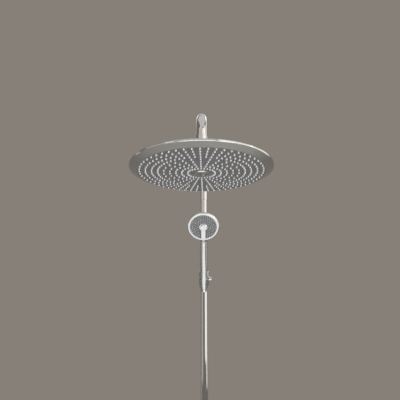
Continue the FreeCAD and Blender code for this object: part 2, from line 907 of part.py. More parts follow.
turning_disc_start = floor_top + d.disc_thickness
turning_disc_end = turning_disc_start + d.disc_thickness
piece("ceramic_seat_disc", ceramic_disc(floor_top), mixer_at, TO_LEFT)
piece("turning_disc", ceramic_disc(turning_disc_start), mixer_at, TO_LEFT)
piece("flow_spindle", turned(
    [
        (ZERO, turning_disc_end),
        (d.spindle_flange_radius, turning_disc_end),
        (d.spindle_flange_radius, turning_disc_end + d.spindle_flange_length),
        (d.flow_spindle_radius, turning_disc_end + d.spindle_flange_length),
        (d.flow_spindle_radius, cartridge_head_start),
        (d.spindle_radius, cartridge_head_start),
        (d.spindle_radius, spindle_end),
        (ZERO, spindle_end),
    ],
    mixer_at,
    TO_LEFT,
))


# Handles: a fluted cup on the spindle's end, with a stop button on the side that faces the room

handle_end = handle_start + d.handle_length
button_level = handle_start + d.stop_button_inset
cup_bore_radius = d.handle_radius - d.handle_wall


def handle_cup():
    hub_start = cartridge_tip + d.handle_hub_gap
    spindle_bore_radius = d.spindle_radius + d.fit_clearance
    cup = turned(
        [
            (d.handle_radius, handle_start),
            (d.handle_radius, handle_end),
            (ZERO, handle_end),
            (ZERO, spindle_end),
            (spindle_bore_radius, spindle_end),
            (spindle_bore_radius, hub_start),
            (d.handle_hub_radius, hub_start),
            (d.handle_hub_radius, handle_end - d.handle_end_wall),
            (cup_bore_radius, handle_end - d.handle_end_wall),
            (cup_bore_radius, handle_start),
        ],
        rounds=[(d.handle_radius, handle_end, d.handle_round)],
    )
    flute_start = (handle_start + d.flute_inset * 3).number
    flute_length = (d.handle_length - d.flute_inset * 4).number
    flute_circle = (d.handle_radius + d.flute_radius - d.flute_depth).number
    flutes = []
    for angle in ring_angles(count.flute_count):
        turn = math.radians(angle)
        across, along = flute_circle * math.cos(turn), flute_circle * math.sin(turn)
        foot = FreeCAD.Vector(across, along, flute_start)
        flutes.append(Part.makeCylinder(d.flute_radius.number, flute_length, foot))
    hole_at = (ZERO, -d.handle_hub_radius, button_level)
    button_hole = cylinder(d.stop_button_radius + d.running_clearance, d.handle_radius, hole_at, TO_ROOM)
    return without(cup, button_hole, fixed_shape(Part.makeCompound(flutes)))


handle_lug_start = d.stop_ring_radius + d.loose_clearance
handle_lug = block(
    (handle_lug_start, -d.stop_lug_width / 2, ring_start),
    (cup_bore_radius + d.handle_wall / 2, d.stop_lug_width / 2, ring_start + d.stop_ring_length),
)
piece("temp_handle", joined(handle_cup(), handle_lug), mixer_at, TO_RIGHT)
piece("flow_handle", handle_cup(), mixer_at, TO_LEFT)


def stop_button():
    """A push button with a flange behind the cup's wall. Its own Z points out of the cup."""
    flange_radius = d.stop_button_radius + d.stop_button_flange_width
    flange_end = cup_bore_radius - d.stop_button_flange_gap
    flange_start = flange_end - d.stop_button_flange_length
    top = d.handle_radius + d.stop_button_rise
    return turned(
        [
            (ZERO, flange_start),
            (flange_radius, flange_start),
            (flange_radius, flange_end),
            (d.stop_button_radius, flange_end),
            (d.stop_button_radius, top),
            (ZERO, top),
        ],
        rounds=[(d.stop_button_radius, top, d.stop_button_flange_length / 2)],
    )


piece("safety_button", stop_button(), (button_level, -d.wall_to_axis, d.union_rise), TO_ROOM)
piece("eco_button", stop_button(), (-button_level, -d.wall_to_axis, d.union_rise), TO_ROOM)


# Riser pipe with its seal and nut. Z is the riser's own axis, counted from the origin's level.

riser_at = (ZERO, -d.wall_to_axis, ZERO)
seal_start = d.union_rise + boss_top
riser_start = seal_start + d.seal_thickness
riser_flange_end = riser_start + d.riser_flange_length
riser_nut_end = riser_flange_end + d.riser_nut_lip
riser_nut_start = riser_nut_end - d.riser_nut_length
piece("riser_seal", turned(
    [
        (d.riser_passage_radius, seal_start),
        (d.riser_flange_radius, seal_start),
        (d.riser_flange_radius, riser_start),
        (d.riser_passage_radius, riser_start),
    ],
    riser_at,
))
piece("riser_nut", turned(
    [
        (thread_bore_radius, riser_nut_start),
        (d.riser_nut_radius, riser_nut_start),
        (d.riser_nut_radius, riser_nut_end),
        (riser_bore_radius, riser_nut_end),
        (riser_bore_radius, riser_flange_end),
        (thread_bore_radius, riser_flange_end),
    ],
    riser_at,
    rounds=[(d.riser_nut_radius, riser_nut_end, d.riser_nut_round)],
))

arm_start = d.arm_height - d.arm_rear_bend - d.arm_rear_leg
socket_end = arm_start - d.spigot_flange_length
socket_step_end = socket_end - d.socket_depth
riser_end = socket_step_end - d.socket_step
socket_start = riser_end - d.socket_overlap
piece("riser_pipe", turned(
    [
        (d.riser_radius - d.riser_wall, riser_start),
        (d.riser_flange_radius, riser_start),
        (d.riser_flange_radius, riser_flange_end),
        (d.riser_radius, riser_flange_end),
        (d.riser_radius, riser_end),
        (d.riser_radius - d.riser_wall, riser_end),
    ],
    riser_at,
))


# Wall bracket. Z points into the room.

bracket_at = (ZERO, ZERO, d.arm_height - d.bracket_drop)
stud_end = d.bracket_base_thickness + d.bracket_stud_length
screw_seat = stud_end - d.screw_head_length
piece("bracket_base", turned(
    [
        (d.screw_thread_radius + d.fit_clearance, ZERO),
        (d.bracket_base_radius, ZERO),
        (d.bracket_base_radius, d.bracket_base_thickness),
        (d.bracket_stud_radius, d.bracket_base_thickness),
        (d.bracket_stud_radius, stud_end),
        (d.screw_head_radius + d.fit_clearance, stud_end),
        (d.screw_head_radius + d.fit_clearance, screw_seat),
        (d.screw_thread_radius + d.fit_clearance, screw_seat),
    ],
    bracket_at,
    TO_ROOM,
))
piece("bracket_screw", turned(
    [
        (ZERO, -d.screw_depth_in_wall),
        (d.screw_thread_radius, -d.screw_depth_in_wall),
        (d.screw_thread_radius, ZERO),
        (d.screw_shank_radius, ZERO),
        (d.screw_shank_radius, screw_seat),
        (d.screw_head_radius, screw_seat),
        (d.screw_head_radius, stud_end),
        (ZERO, stud_end),
    ],
    bracket_at,
    TO_ROOM,
))
bracket_rosette = wall_rosette(
    d.bracket_rosette_radius, d.bracket_rosette_edge, d.bracket_rosette_shoulder_radius,
    d.bracket_base_thickness + d.rosette_wall, d.bracket_arm_radius + d.loose_clearance,
)
piece("bracket_rosette", bracket_rosette, bracket_at, TO_ROOM)

bracket_ring_radius = riser_bore_radius + d.bracket_ring_wall
half_ring = d.bracket_ring_height / 2
ring = turned(
    [
        (ZERO, -half_ring),
        (bracket_ring_radius, -half_ring),
        (bracket_ring_radius, half_ring),
        (ZERO, half_ring),
    ],
    (ZERO, ZERO, d.wall_to_axis),
    TO_WALL,
    rounds=[
        (bracket_ring_radius, half_ring, d.bracket_ring_round),
        (bracket_ring_radius, -half_ring, d.bracket_ring_round),
    ],
)
bar = cylinder(
    d.bracket_arm_radius, d.wall_to_axis - d.bracket_base_thickness, (ZERO, ZERO, d.bracket_base_thickness)
)
ring_bore_at = (ZERO, -half_ring - d.overrun, d.wall_to_axis)
piece("bracket_arm", without(
    joined(bar, ring),
    cylinder(
        d.bracket_stud_radius + d.fit_clearance, d.bracket_stud_length + d.loose_clearance + d.overrun,
        (ZERO, ZERO, d.bracket_base_thickness - d.overrun),
    ),
    cylinder(riser_bore_radius, d.bracket_ring_height + d.overrun * 2, ring_bore_at, TO_WALL),
), bracket_at, TO_ROOM)


# Swivel: a socket on the riser, and a spigot with two seal grooves and one for the lock screw

socket_bore_radius = d.spigot_radius + d.running_clearance
lock_level = socket_end - d.seal_inset - d.seal_spacing / 2
socket = turned(
    [
        (riser_bore_radius, socket_start),
        (d.socket_radius, socket_start),
        (d.socket_radius, socket_end),
        (socket_bore_radius, socket_end),
        (socket_bore_radius, socket_step_end),
        (d.socket_step_radius, socket_step_end),
        (d.socket_step_radius, riser_end),
        (riser_bore_radius, riser_end),
    ],
    rounds=[(d.socket_radius, socket_start, d.socket_round)],
)
lock_bore_radius = d.lock_screw_radius + d.fit_clearance
piece("swivel_socket", without(
    socket,
    cylinder(lock_bore_radius, d.socket_radius + d.overrun, (ZERO, ZERO, lock_level), TO_WALL),
), riser_at)
lock_tip = d.spigot_radius - d.lock_groove_depth + d.loose_clearance
piece("lock_screw", cylinder(
    d.lock_screw_radius, d.socket_radius - lock_tip, (ZERO, lock_tip - d.wall_to_axis, lock_level), TO_WALL
))

groove_radius = d.spigot_radius - d.seal_groove_depth
lock_groove_radius = d.spigot_radius - d.lock_groove_depth
upper_seal = socket_end - d.seal_inset
lower_seal = upper_seal - d.seal_spacing
piece("arm_spigot", turned(
    [
        (d.spigot_bore_radius, socket_end - d.spigot_length),
        (d.spigot_radius, socket_end - d.spigot_length),
        (d.spigot_radius, lower_seal - d.seal_groove_half_width),
        (groove_radius, lower_seal - d.seal_groove_half_width),
        (groove_radius, lower_seal + d.seal_groove_half_width),
        (d.spigot_radius, lower_seal + d.seal_groove_half_width),
        (d.spigot_radius, lock_level - d.lock_groove_half_width),
        (lock_groove_radius, lock_level - d.lock_groove_half_width),
        (lock_groove_radius, lock_level + d.lock_groove_half_width),
        (d.spigot_radius, lock_level + d.lock_groove_half_width),
        (d.spigot_radius, upper_seal - d.seal_groove_half_width),
        (groove_radius, upper_seal - d.seal_groove_half_width),
        (groove_radius, upper_seal + d.seal_groove_half_width),
        (d.spigot_radius, upper_seal + d.seal_groove_half_width),
        (d.spigot_radius, socket_end),
        (d.arm_radius, socket_end),
        (d.arm_radius, arm_start),
        (d.arm_radius - d.arm_wall - d.fit_clearance, arm_start),
        (d.arm_radius - d.arm_wall - d.fit_clearance, arm_start + d.spigot_root_length),
        (d.spigot_bore_radius, arm_start + d.spigot_root_length),
    ],
    riser_at,
))
seal_wire_radius = d.seal_groove_depth / 2
piece("spigot_seals", group([
    torus(groove_radius + seal_wire_radius, seal_wire_radius, (ZERO, -d.wall_to_axis, level))
    for level in (lower_seal, upper_seal)
]))


# Overhead arm: one tube bent out into the room and down again, swept along its middle line

def bent_tube(radius, wall):
    """The tube in the plane x = 0, from its lower rear end at the origin to its front end."""
    body = document.addObject("PartDesign::Body", "Tube")
    path = body.newObject("Sketcher::SketchObject", "Path")
    path.AttachmentSupport = [(origin_plane(body, "YZ_Plane"), "")]
    path.MapMode = "FlatFace"
    rear, front = d.arm_rear_bend.number, d.arm_front_bend.number
    level = d.arm_rear_leg.number + rear
    reach = d.arm_reach.number
    corners = [
        FreeCAD.Vector(0, 0, 0),
        FreeCAD.Vector(0, level - rear, 0),
        FreeCAD.Vector(-rear, level, 0),
        FreeCAD.Vector(front - reach, level, 0),
        FreeCAD.Vector(-reach, level - front, 0),
        FreeCAD.Vector(-reach, level - front - d.arm_front_leg.number, 0),
    ]
    quarter = math.pi / 2
    normal = FreeCAD.Vector(0, 0, 1)
    rear_circle = Part.Circle(FreeCAD.Vector(-rear, level - rear, 0), normal, rear)
    front_circle = Part.Circle(FreeCAD.Vector(front - reach, level - front, 0), normal, front)
    path.addGeometry(
        [
            Part.LineSegment(corners[0], corners[1]),
            Part.ArcOfCircle(rear_circle, 0, quarter),
            Part.LineSegment(corners[2], corners[3]),
            Part.ArcOfCircle(front_circle, quarter, quarter * 2),
            Part.LineSegment(corners[4], corners[5]),
        ],
        False,
    )
    path.addConstraint([
        Sketcher.Constraint("Coincident", 0, 1, -1, 1),
        Sketcher.Constraint("Vertical", 0),
        Sketcher.Constraint("Tangent", 0, 2, 1, 1),
        Sketcher.Constraint("Tangent", 1, 2, 2, 1),
        Sketcher.Constraint("Horizontal", 2),
        Sketcher.Constraint("Tangent", 2, 2, 3, 1),
        Sketcher.Constraint("Tangent", 3, 2, 4, 1),
        Sketcher.Constraint("Vertical", 4),
    ])
    bound = [
        (("DistanceY", 0, 1, 0, 2), d.arm_rear_leg),
        (("Radius", 1), d.arm_rear_bend),
        (("Radius", 3), d.arm_front_bend),
        (("DistanceX", 4, 2, -1, 1), d.arm_reach),
        (("DistanceY", 4, 2, 4, 1), d.arm_front_leg),
    ]
    for (kind, *where), size in bound:
        number = path.addConstraint(Sketcher.Constraint(kind, *where, size.number))
        path.setExpression(f"Constraints[{number}]", size.formula)
    section = body.newObject("Sketcher::SketchObject", "Section")
    section.AttachmentSupport = [(origin_plane(body, "XY_Plane"), "")]
    section.MapMode = "FlatFace"
    for circle, size in enumerate((radius, radius - wall)):
        section.addGeometry(Part.Circle(FreeCAD.Vector(), normal, size.number), False)
        section.addConstraint(Sketcher.Constraint("Coincident", circle, 3, -1, 1))
        number = section.addConstraint(Sketcher.Constraint("Radius", circle, size.number))
        section.setExpression(f"Constraints[{number}]", size.formula)
    pipe = body.newObject("PartDesign::AdditivePipe", "Pipe")
    pipe.Profile = section
    pipe.Spine = (path, [])
    body.Tip = pipe
    return body


piece("arm_tube", bent_tube(d.arm_radius, d.arm_wall), (ZERO, -d.wall_to_axis, arm_start))


# Ball joint. The remaining pieces of the overhead shower are counted from the middle of the ball.

ball_level = d.arm_height - d.arm_front_bend - d.arm_front_leg - d.sleeve_thread_length - d.neck_gap
ball_at = (ZERO, -d.wall_to_axis - d.arm_reach, ball_level)
thread_end = d.neck_gap + d.sleeve_thread_length
sleeve_end = thread_end + d.sleeve_lap
piece("arm_end_sleeve", turned(
    [
        (d.stud_thread_radius + d.fit_clearance, d.neck_gap),
        (d.sleeve_radius, d.neck_gap),
        (d.sleeve_radius, sleeve_end),
        (d.arm_radius + d.fit_clearance, sleeve_end),
        (d.arm_radius + d.fit_clearance, thread_end),
        (d.stud_thread_radius + d.fit_clearance, thread_end),
    ],
    ball_at,
    rounds=[(d.sleeve_radius, d.neck_gap, d.sleeve_round), (d.sleeve_radius, sleeve_end, d.sleeve_round)],
))
piece("ball_stud", without(
    joined(
        sphere(d.ball_radius),
        cylinder(d.ball_neck_radius, thread_end),
        cylinder(d.stud_thread_radius, d.sleeve_thread_length, (ZERO, ZERO, d.neck_gap)),
    ),
    cylinder(
        d.ball_bore_radius, (thread_end + d.ball_radius) * 2, (ZERO, ZERO, -d.ball_radius - d.overrun)
    ),
    cylinder(d.ball_radius, d.overrun * 2, (ZERO, ZERO, -d.ball_flat), DOWNWARD),
), ball_at)
piece("ball_seat", without(
    shared(
        sphere(d.seat_radius),
        cylinder(d.seat_radius, d.seat_below + d.seat_above, (ZERO, ZERO, -d.seat_below)),
    ),
    sphere(d.ball_radius + d.running_clearance),
), ball_at)

nut_length = d.ball_nut_skirt + d.ball_nut_top
nut_outside = turned(
    [
        (ZERO, -d.ball_nut_skirt),
        (d.ball_nut_radius, -d.ball_nut_skirt),
        (d.ball_nut_radius, d.ball_nut_top),
        (ZERO, d.ball_nut_top),
    ],
    rounds=[
        (d.ball_nut_radius, d.ball_nut_top, d.ball_nut_round),
        (d.ball_nut_radius, -d.ball_nut_skirt, d.ball_nut_round),
    ],
)
piece("ball_nut", without(
    nut_outside,
    sphere(d.seat_radius + d.running_clearance),
    cylinder(
        d.neck_radius + d.fit_clearance, d.ball_nut_skirt - d.ball_nut_thread_top + d.overrun,
        (ZERO, ZERO, -d.ball_nut_skirt - d.overrun),
    ),
    cylinder(d.ball_nut_mouth_radius, nut_length),
), ball_at)


# Rain head: cover, rim, spray plate, nozzle mat and water plate

rim_end = d.rim_drop + d.rim_band + d.rim_slope_drop
plate_start = rim_end - d.face_lip_thickness
mat_start = plate_start - d.face_thickness
chamber_start = mat_start - d.mat_thickness
water_plate_start = chamber_start - d.chamber_depth
water_plate_end = water_plate_start - d.water_plate_thickness
face_radius = d.rim_radius - d.rim_width
face_bore_radius = face_radius + d.fit_clearance
cover_middle_radius = d.rim_radius / 2
water_plate_radius = face_radius - d.water_plate_margin
neck_top_drop = d.seat_below + d.seat_room
strainer_seat = d.neck_floor_drop - d.strainer_thickness

cover = turned(
    [
        (d.neck_bore_radius, -neck_top_drop),
        (d.neck_radius, -neck_top_drop),
        (d.neck_radius, -d.ball_nut_skirt),
        (d.cover_neck_radius, -d.ball_nut_skirt),
        (d.cover_shoulder_radius, -d.cover_shoulder_drop),
        (cover_middle_radius, -d.cover_middle_drop),
        (d.rim_radius, -d.cover_edge_drop),
        (d.rim_radius, -d.rim_drop),
        (face_bore_radius, -d.rim_drop),
        (face_bore_radius, -d.cover_inner_edge_drop),
        (cover_middle_radius, -d.cover_middle_drop - d.cover_wall),
        (d.cover_shoulder_radius, -d.neck_floor_drop),
        (d.strainer_radius, -d.neck_floor_drop),
        (d.strainer_radius, -strainer_seat),
        (d.neck_bore_radius, -strainer_seat),
    ],
    rounds=[(d.rim_radius, -d.cover_edge_drop, d.cover_round)],
)
piece("head_cover", without(cover, sphere(d.ball_radius + d.loose_clearance)), ball_at)
piece("head_rim", turned(
    [
        (d.rim_radius, -d.rim_drop),
        (d.rim_radius, -d.rim_drop - d.rim_band),
        (face_radius, -rim_end),
        (face_radius - d.face_lip_width, -rim_end),
        (face_radius - d.face_lip_width, -plate_start),
        (face_bore_radius, -plate_start),
        (face_bore_radius, -d.rim_drop),
    ],
    ball_at,
    rounds=[(d.rim_radius, -d.rim_drop - d.rim_band, d.rim_round)],
))


nozzle_pitch = (face_radius - d.nozzle_margin - d.nozzle_first_radius) / (count.nozzle_ring_count - 1)
screw_circle_radius = d.nozzle_first_radius + nozzle_pitch * (count.rings_inside_screws_count - 0.5)


def nozzle_places():
    """Long rows of nozzles with short rows between them near the rim."""
    rows = ring_angles(count.nozzle_row_count)
    between = ring_angles(count.nozzle_row_count, FULL_TURN / count.nozzle_row_count / 2)
    spots = []
    for ring_number in range(count.nozzle_ring_count):
        radius = (d.nozzle_first_radius + nozzle_pitch * ring_number).number
        short = ring_number >= count.nozzle_ring_count - count.nozzle_short_ring_count
        for angle in rows + (between if short else []):
            spots.append((radius * math.cos(math.radians(angle)), radius * math.sin(math.radians(angle))))
    return spots


def many_bores(spots, radius, start, length):
    """Bores of one size at many spots."""
    feet = [FreeCAD.Vector(across, along, start.number) for across, along in spots]
    return Part.makeCompound([Part.makeCylinder(radius.number, length.number, foot) for foot in feet])


def many_nozzles(spots, root_radius, tip_radius, start, length):
    """Cones that taper downwards at many spots."""
    down = FreeCAD.Vector(0, 0, -1)
    sizes = (root_radius.number, tip_radius.number, length.number)
    feet = [FreeCAD.Vector(across, along, start.number) for across, along in spots]
    return Part.makeCompound([Part.makeCone(*sizes, foot, down) for foot in feet])


spots = nozzle_places()
half_row = FULL_TURN / count.nozzle_row_count / 2
face_bore_length = d.face_thickness + d.overrun * 2
stem_bore_radius = d.hub_stem_radius + d.fit_clearance
screw_bore_radius = d.head_screw_radius + d.fit_clearance
piece("spray_plate", without(
    cylinder(face_radius, d.face_thickness, (ZERO, ZERO, -plate_start)),
    cylinder(stem_bore_radius, face_bore_length, (ZERO, ZERO, -plate_start - d.overrun)),
    *holes_on_circle(
        count.head_screw_count, screw_circle_radius, d.head_screw_radius,
        -mat_start - d.head_screw_bite, d.head_screw_bite + d.overrun, half_row,
    ),
    fixed_shape(many_bores(spots, d.nozzle_hole_radius, -plate_start - d.overrun, face_bore_length)),
), ball_at)
mat_bore_length = d.mat_thickness + d.overrun * 2
mat_disc = without(
    cylinder(face_radius - d.face_lip_width / 2, d.mat_thickness, (ZERO, ZERO, -mat_start)),
    cylinder(stem_bore_radius, mat_bore_length, (ZERO, ZERO, -mat_start - d.overrun)),
    *holes_on_circle(
        count.head_screw_count, screw_circle_radius, screw_bore_radius,
        -mat_start - d.overrun, mat_bore_length, half_row,
    ),
)
nozzle_length = plate_start - mat_start + d.nozzle_rise
nozzles = many_nozzles(spots, d.nozzle_root_radius, d.nozzle_tip_radius, -mat_start, nozzle_length)
piece("nozzle_mat", joined(mat_disc, fixed_shape(nozzles)), ball_at)
piece("chamber_seal", turned(
    [
        (water_plate_radius - d.chamber_seal_width, -chamber_start),
        (water_plate_radius, -chamber_start),
        (water_plate_radius, -water_plate_start),
        (water_plate_radius - d.chamber_seal_width, -water_plate_start),
    ],
    ball_at,
))
water_bore_start = -water_plate_start - d.overrun
water_bore_length = d.water_plate_thickness + d.overrun * 2
piece("water_plate", without(
    cylinder(water_plate_radius, d.water_plate_thickness, (ZERO, ZERO, -water_plate_start)),
    cylinder(d.hub_tip_radius + d.fit_clearance, water_bore_length, (ZERO, ZERO, water_bore_start)),
    *holes_on_circle(
        count.water_port_count, d.water_port_circle_radius, d.water_port_radius,
        water_bore_start, water_bore_length,
    ),
    *holes_on_circle(
        count.head_screw_count, screw_circle_radius, screw_bore_radius,
        water_bore_start, water_bore_length, half_row,
    ),
), ball_at)

head_screws = []
screw_length = mat_start - water_plate_end + d.head_screw_bite
for angle in ring_angles(count.head_screw_count, half_row):
    foot = on_circle(screw_circle_radius, angle, -mat_start - d.head_screw_bite)
    seat = on_circle(screw_circle_radius, angle, -water_plate_end)
    shank = cylinder(d.head_screw_radius, screw_length, foot)
    head_screws.append(joined(shank, cylinder(d.head_screw_head_radius, d.head_screw_head_length, seat)))
piece("head_screws", group(head_screws), ball_at)

piece("centre_hub", turned(
    [
        (ZERO, -plate_start - d.hub_height),
        (d.hub_radius - d.hub_bevel, -plate_start - d.hub_height),
        (d.hub_radius, -plate_start - d.hub_height + d.hub_bevel),
        (d.hub_radius, -plate_start),
        (d.hub_stem_radius, -plate_start),
        (d.hub_stem_radius, -water_plate_start),
        (d.hub_tip_radius, -water_plate_start),
        (d.hub_tip_radius, -water_plate_end),
        (ZERO, -water_plate_end),
    ],
    ball_at,
))
piece("inlet_strainer", without(
    cylinder(d.strainer_radius - d.fit_clearance, d.strainer_thickness, (ZERO, ZERO, -d.neck_floor_drop)),
    *holes_on_circle(
        count.strainer_hole_count, d.strainer_hole_circle_radius, d.strainer_hole_radius,
        -d.neck_floor_drop - d.overrun, d.strainer_thickness + d.overrun * 2,
    ),
), ball_at)


# Slider on the riser. Z is the riser's axis and the middle of the slider is at zero.

slider_level = d.arm_height - d.slider_drop
slider_at = (ZERO, -d.wall_to_axis, slider_level)
half_bush = d.bush_length / 2
half_slider = half_bush - d.bush_flange_length
bush_bore_radius = d.riser_radius + d.running_clearance
bush_radius = bush_bore_radius + d.bush_wall
piece("slider_bush", turned(
    [
        (bush_bore_radius, -half_bush),
        (d.bush_flange_radius, -half_bush),
        (d.bush_flange_radius, -half_slider),
        (bush_radius, -half_slider),
        (bush_radius, half_slider),
        (d.bush_flange_radius, half_slider),
        (d.bush_flange_radius, half_bush),
        (bush_bore_radius, half_bush),
    ],
    slider_at,
))

slider_sleeve = turned(
    [
        (ZERO, -half_slider),
        (d.slider_radius, -half_slider),
        (d.slider_radius, half_slider),
        (ZERO, half_slider),
    ],
    rounds=[
        (d.slider_radius, half_slider, d.slider_round),
        (d.slider_radius, -half_slider, d.slider_round),
    ],
)
ear_width = d.ear_half_width * 2
slot_half_width = d.tongue_half_width + d.loose_clearance
release_collar = turned(
    [
        (ZERO, bush_radius),
        (d.release_collar_radius, bush_radius),
        (d.release_collar_radius, d.release_collar_reach),
        (ZERO, d.release_collar_reach),
    ],
    turn=TO_RIGHT,
    rounds=[(d.release_collar_radius, d.release_collar_reach, d.release_round)],
)
piece("slider_body", without(
    joined(
        slider_sleeve,
        cylinder(d.ear_radius, ear_width, (-d.ear_half_width, -d.pivot_shift, ZERO), TO_RIGHT),
        block(
            (-d.ear_half_width, -d.pivot_shift, -d.ear_radius),
            (d.ear_half_width, -bush_radius, d.ear_radius),
        ),
        release_collar,
    ),
    cylinder(bush_radius + d.running_clearance, d.bush_length, (ZERO, ZERO, -half_bush)),
    block(
        (-slot_half_width, -d.pivot_shift - d.ear_radius - d.overrun, -d.ear_radius - d.overrun),
        (slot_half_width, -d.slot_start, d.ear_radius + d.overrun),
    ),
    cylinder(
        d.pin_radius + d.running_clearance, ear_width + d.overrun * 2,
        (-d.ear_half_width - d.overrun, -d.pivot_shift, ZERO), TO_RIGHT,
    ),
    cylinder(
        d.release_button_radius + d.running_clearance, d.release_collar_reach,
        (d.release_pocket_start, ZERO, ZERO), TO_RIGHT,
    ),
), slider_at)
pivot_at = (ZERO, -d.wall_to_axis - d.pivot_shift, slider_level)
piece("holder_pin", turned(
    [
        (ZERO, -d.ear_half_width),
        (d.pin_radius, -d.ear_half_width),
        (d.pin_radius, d.ear_half_width),
        (d.pin_head_radius, d.ear_half_width),
        (d.pin_head_radius, d.ear_half_width + d.pin_head_length),
        (ZERO, d.ear_half_width + d.pin_head_length),
    ],
    pivot_at,
    TO_RIGHT,
))
piece("slider_button", turned(
    [
        (ZERO, d.release_button_start),
        (d.release_button_radius, d.release_button_start),
        (d.release_button_radius, d.release_button_reach),
        (ZERO, d.release_button_reach),
    ],
    slider_at,
    TO_RIGHT,
    rounds=[(d.release_button_radius, d.release_button_reach, d.release_round)],
))


# Hand holder and hand shower. Z is the leaning handle, -Y its front, and zero the middle of the cone.

lean = d.holder_lean_angle
LEANING = FreeCAD.Rotation(FreeCAD.Vector(1, 0, 0), lean.number)
hand_at = (ZERO, pivot_at[1] - d.cone_shift * cosine(lean), pivot_at[2] - d.cone_shift * sine(lean))
half_cone = d.cone_half_height
tongue_at = (-d.tongue_half_width, d.cone_shift, ZERO)
piece("hand_holder", without(
    joined(
        turned([
            (ZERO, -half_cone),
            (d.cone_bottom_radius + d.holder_wall, -half_cone),
            (d.cone_top_radius + d.holder_wall, half_cone),
            (ZERO, half_cone),
        ]),
        cylinder(d.tongue_radius, d.tongue_half_width * 2, tongue_at, TO_RIGHT),
        block(
            (-d.tongue_half_width, d.cone_bottom_radius, -d.holder_web_half_height),
            (d.tongue_half_width, d.cone_shift, d.holder_web_half_height),
        ),
    ),
    cone(d.cone_bottom_radius, d.cone_top_radius, half_cone * 2, (ZERO, ZERO, -half_cone)),
    block(
        (-d.holder_slot_half_width, -d.cone_shift, -half_cone - d.overrun),
        (d.holder_slot_half_width, ZERO, half_cone + d.overrun),
    ),
    cylinder(
        d.pin_radius + d.running_clearance, d.cone_shift, (-d.cone_shift / 2, d.cone_shift, ZERO), TO_RIGHT
    ),
), hand_at, LEANING)

cone_end = -half_cone - d.cone_tail
cone_seat_radius = d.cone_top_radius - d.loose_clearance
grip = turned([
    (ZERO, cone_end),
    (d.cone_tail_radius, cone_end),
    (cone_seat_radius, half_cone),
    (d.grip_radius, d.grip_start),
    (d.grip_top_radius, d.grip_top_height),
    (ZERO, d.grip_top_height),
])
head_lean = d.hand_head_lean_angle
IN_HAND = FreeCAD.Rotation(FreeCAD.Vector(1, 0, 0), head_lean.number - FULL_TURN / 4)
hand_head_level = d.grip_top_height + d.hand_head_rise
head_in_hand = (ZERO, -d.hand_head_shift, hand_head_level)
back_rim_radius = d.hand_ring_radius - d.hand_ring_lip
back = turned([
    (ZERO, d.hand_ring_height),
    (back_rim_radius, d.hand_ring_height),
    (d.hand_back_shoulder_radius, d.hand_back_shoulder_height),
    (d.hand_back_flat_radius, d.hand_back_height),
    (ZERO, d.hand_back_height),
], head_in_hand, IN_HAND)
back_hollow = turned([
    (ZERO, d.hand_ring_height),
    (back_rim_radius - d.hand_wall, d.hand_ring_height),
    (d.hand_back_shoulder_radius - d.hand_wall, d.hand_back_shoulder_height - d.hand_wall),
    (d.hand_back_flat_radius, d.hand_back_height - d.hand_wall),
    (ZERO, d.hand_back_height - d.hand_wall),
], head_in_hand, IN_HAND)
ring_room = turned([
    (ZERO, -d.hand_ring_radius),
    (d.hand_ring_radius + d.fit_clearance, -d.hand_ring_radius),
    (d.hand_ring_radius + d.fit_clearance, d.hand_ring_height),
    (ZERO, d.hand_ring_height),
], head_in_hand, IN_HAND)
grip_top = (ZERO, ZERO, d.grip_top_height)
piece("handset_shell", without(
    joined(grip, sphere(d.grip_top_radius, grip_top), back),
    cylinder(
        d.grip_bore_radius, d.grip_top_height - cone_end + d.overrun, (ZERO, ZERO, cone_end - d.overrun)
    ),
    sphere(d.grip_bore_radius, grip_top),
    back_hollow,
    ring_room,
), hand_at, LEANING)
piece("hose_nipple", turned(
    [
        (d.nipple_bore_radius, cone_end - d.nipple_thread_length),
        (d.half_inch_radius, cone_end - d.nipple_thread_length),
        (d.half_inch_radius, cone_end),
        (d.grip_bore_radius - d.fit_clearance, cone_end),
        (d.grip_bore_radius - d.fit_clearance, cone_end + d.nipple_insert_length),
        (d.nipple_bore_radius, cone_end + d.nipple_insert_length),
    ],
    hand_at,
    LEANING,
))


# Head of the hand shower. Z points backwards from the middle of its face, and +Y down towards the handle.

HAND_FACE = FreeCAD.Rotation(FreeCAD.Vector(1, 0, 0), lean.number + head_lean.number - FULL_TURN / 4)
hand_head_at = (
    ZERO,
    hand_at[1] - hand_head_level * sine(lean) - d.hand_head_shift * cosine(lean),
    hand_at[2] + hand_head_level * cosine(lean) - d.hand_head_shift * sine(lean),
)
hand_lip_radius = d.hand_face_radius - d.hand_ring_lip
hand_ring = turned([
    (d.hand_ring_radius, d.hand_ring_height),
    (d.hand_ring_radius, d.hand_ring_bevel - d.hand_ring_lip),
    (d.hand_ring_radius - d.hand_ring_bevel, -d.hand_ring_lip),
    (hand_lip_radius, -d.hand_ring_lip),
    (hand_lip_radius, ZERO),
    (d.hand_face_radius + d.fit_clearance, ZERO),
    (d.hand_face_radius + d.fit_clearance, d.hand_ring_height),
])
select_hole_radius = d.select_radius + d.running_clearance
bridge = without(
    joined(
        cylinder(d.bridge_collar_radius, d.bridge_rise, (ZERO, ZERO, -d.bridge_rise)),
        block(
            (-d.bridge_half_width, ZERO, -d.bridge_rise),
            (d.bridge_half_width, hand_lip_radius + d.hand_ring_bevel, ZERO),
        ),
    ),
    cylinder(select_hole_radius, d.bridge_rise + d.overrun * 2, (ZERO, ZERO, -d.bridge_rise - d.overrun)),
)
piece("handset_ring", joined(hand_ring, bridge), hand_head_at, HAND_FACE)


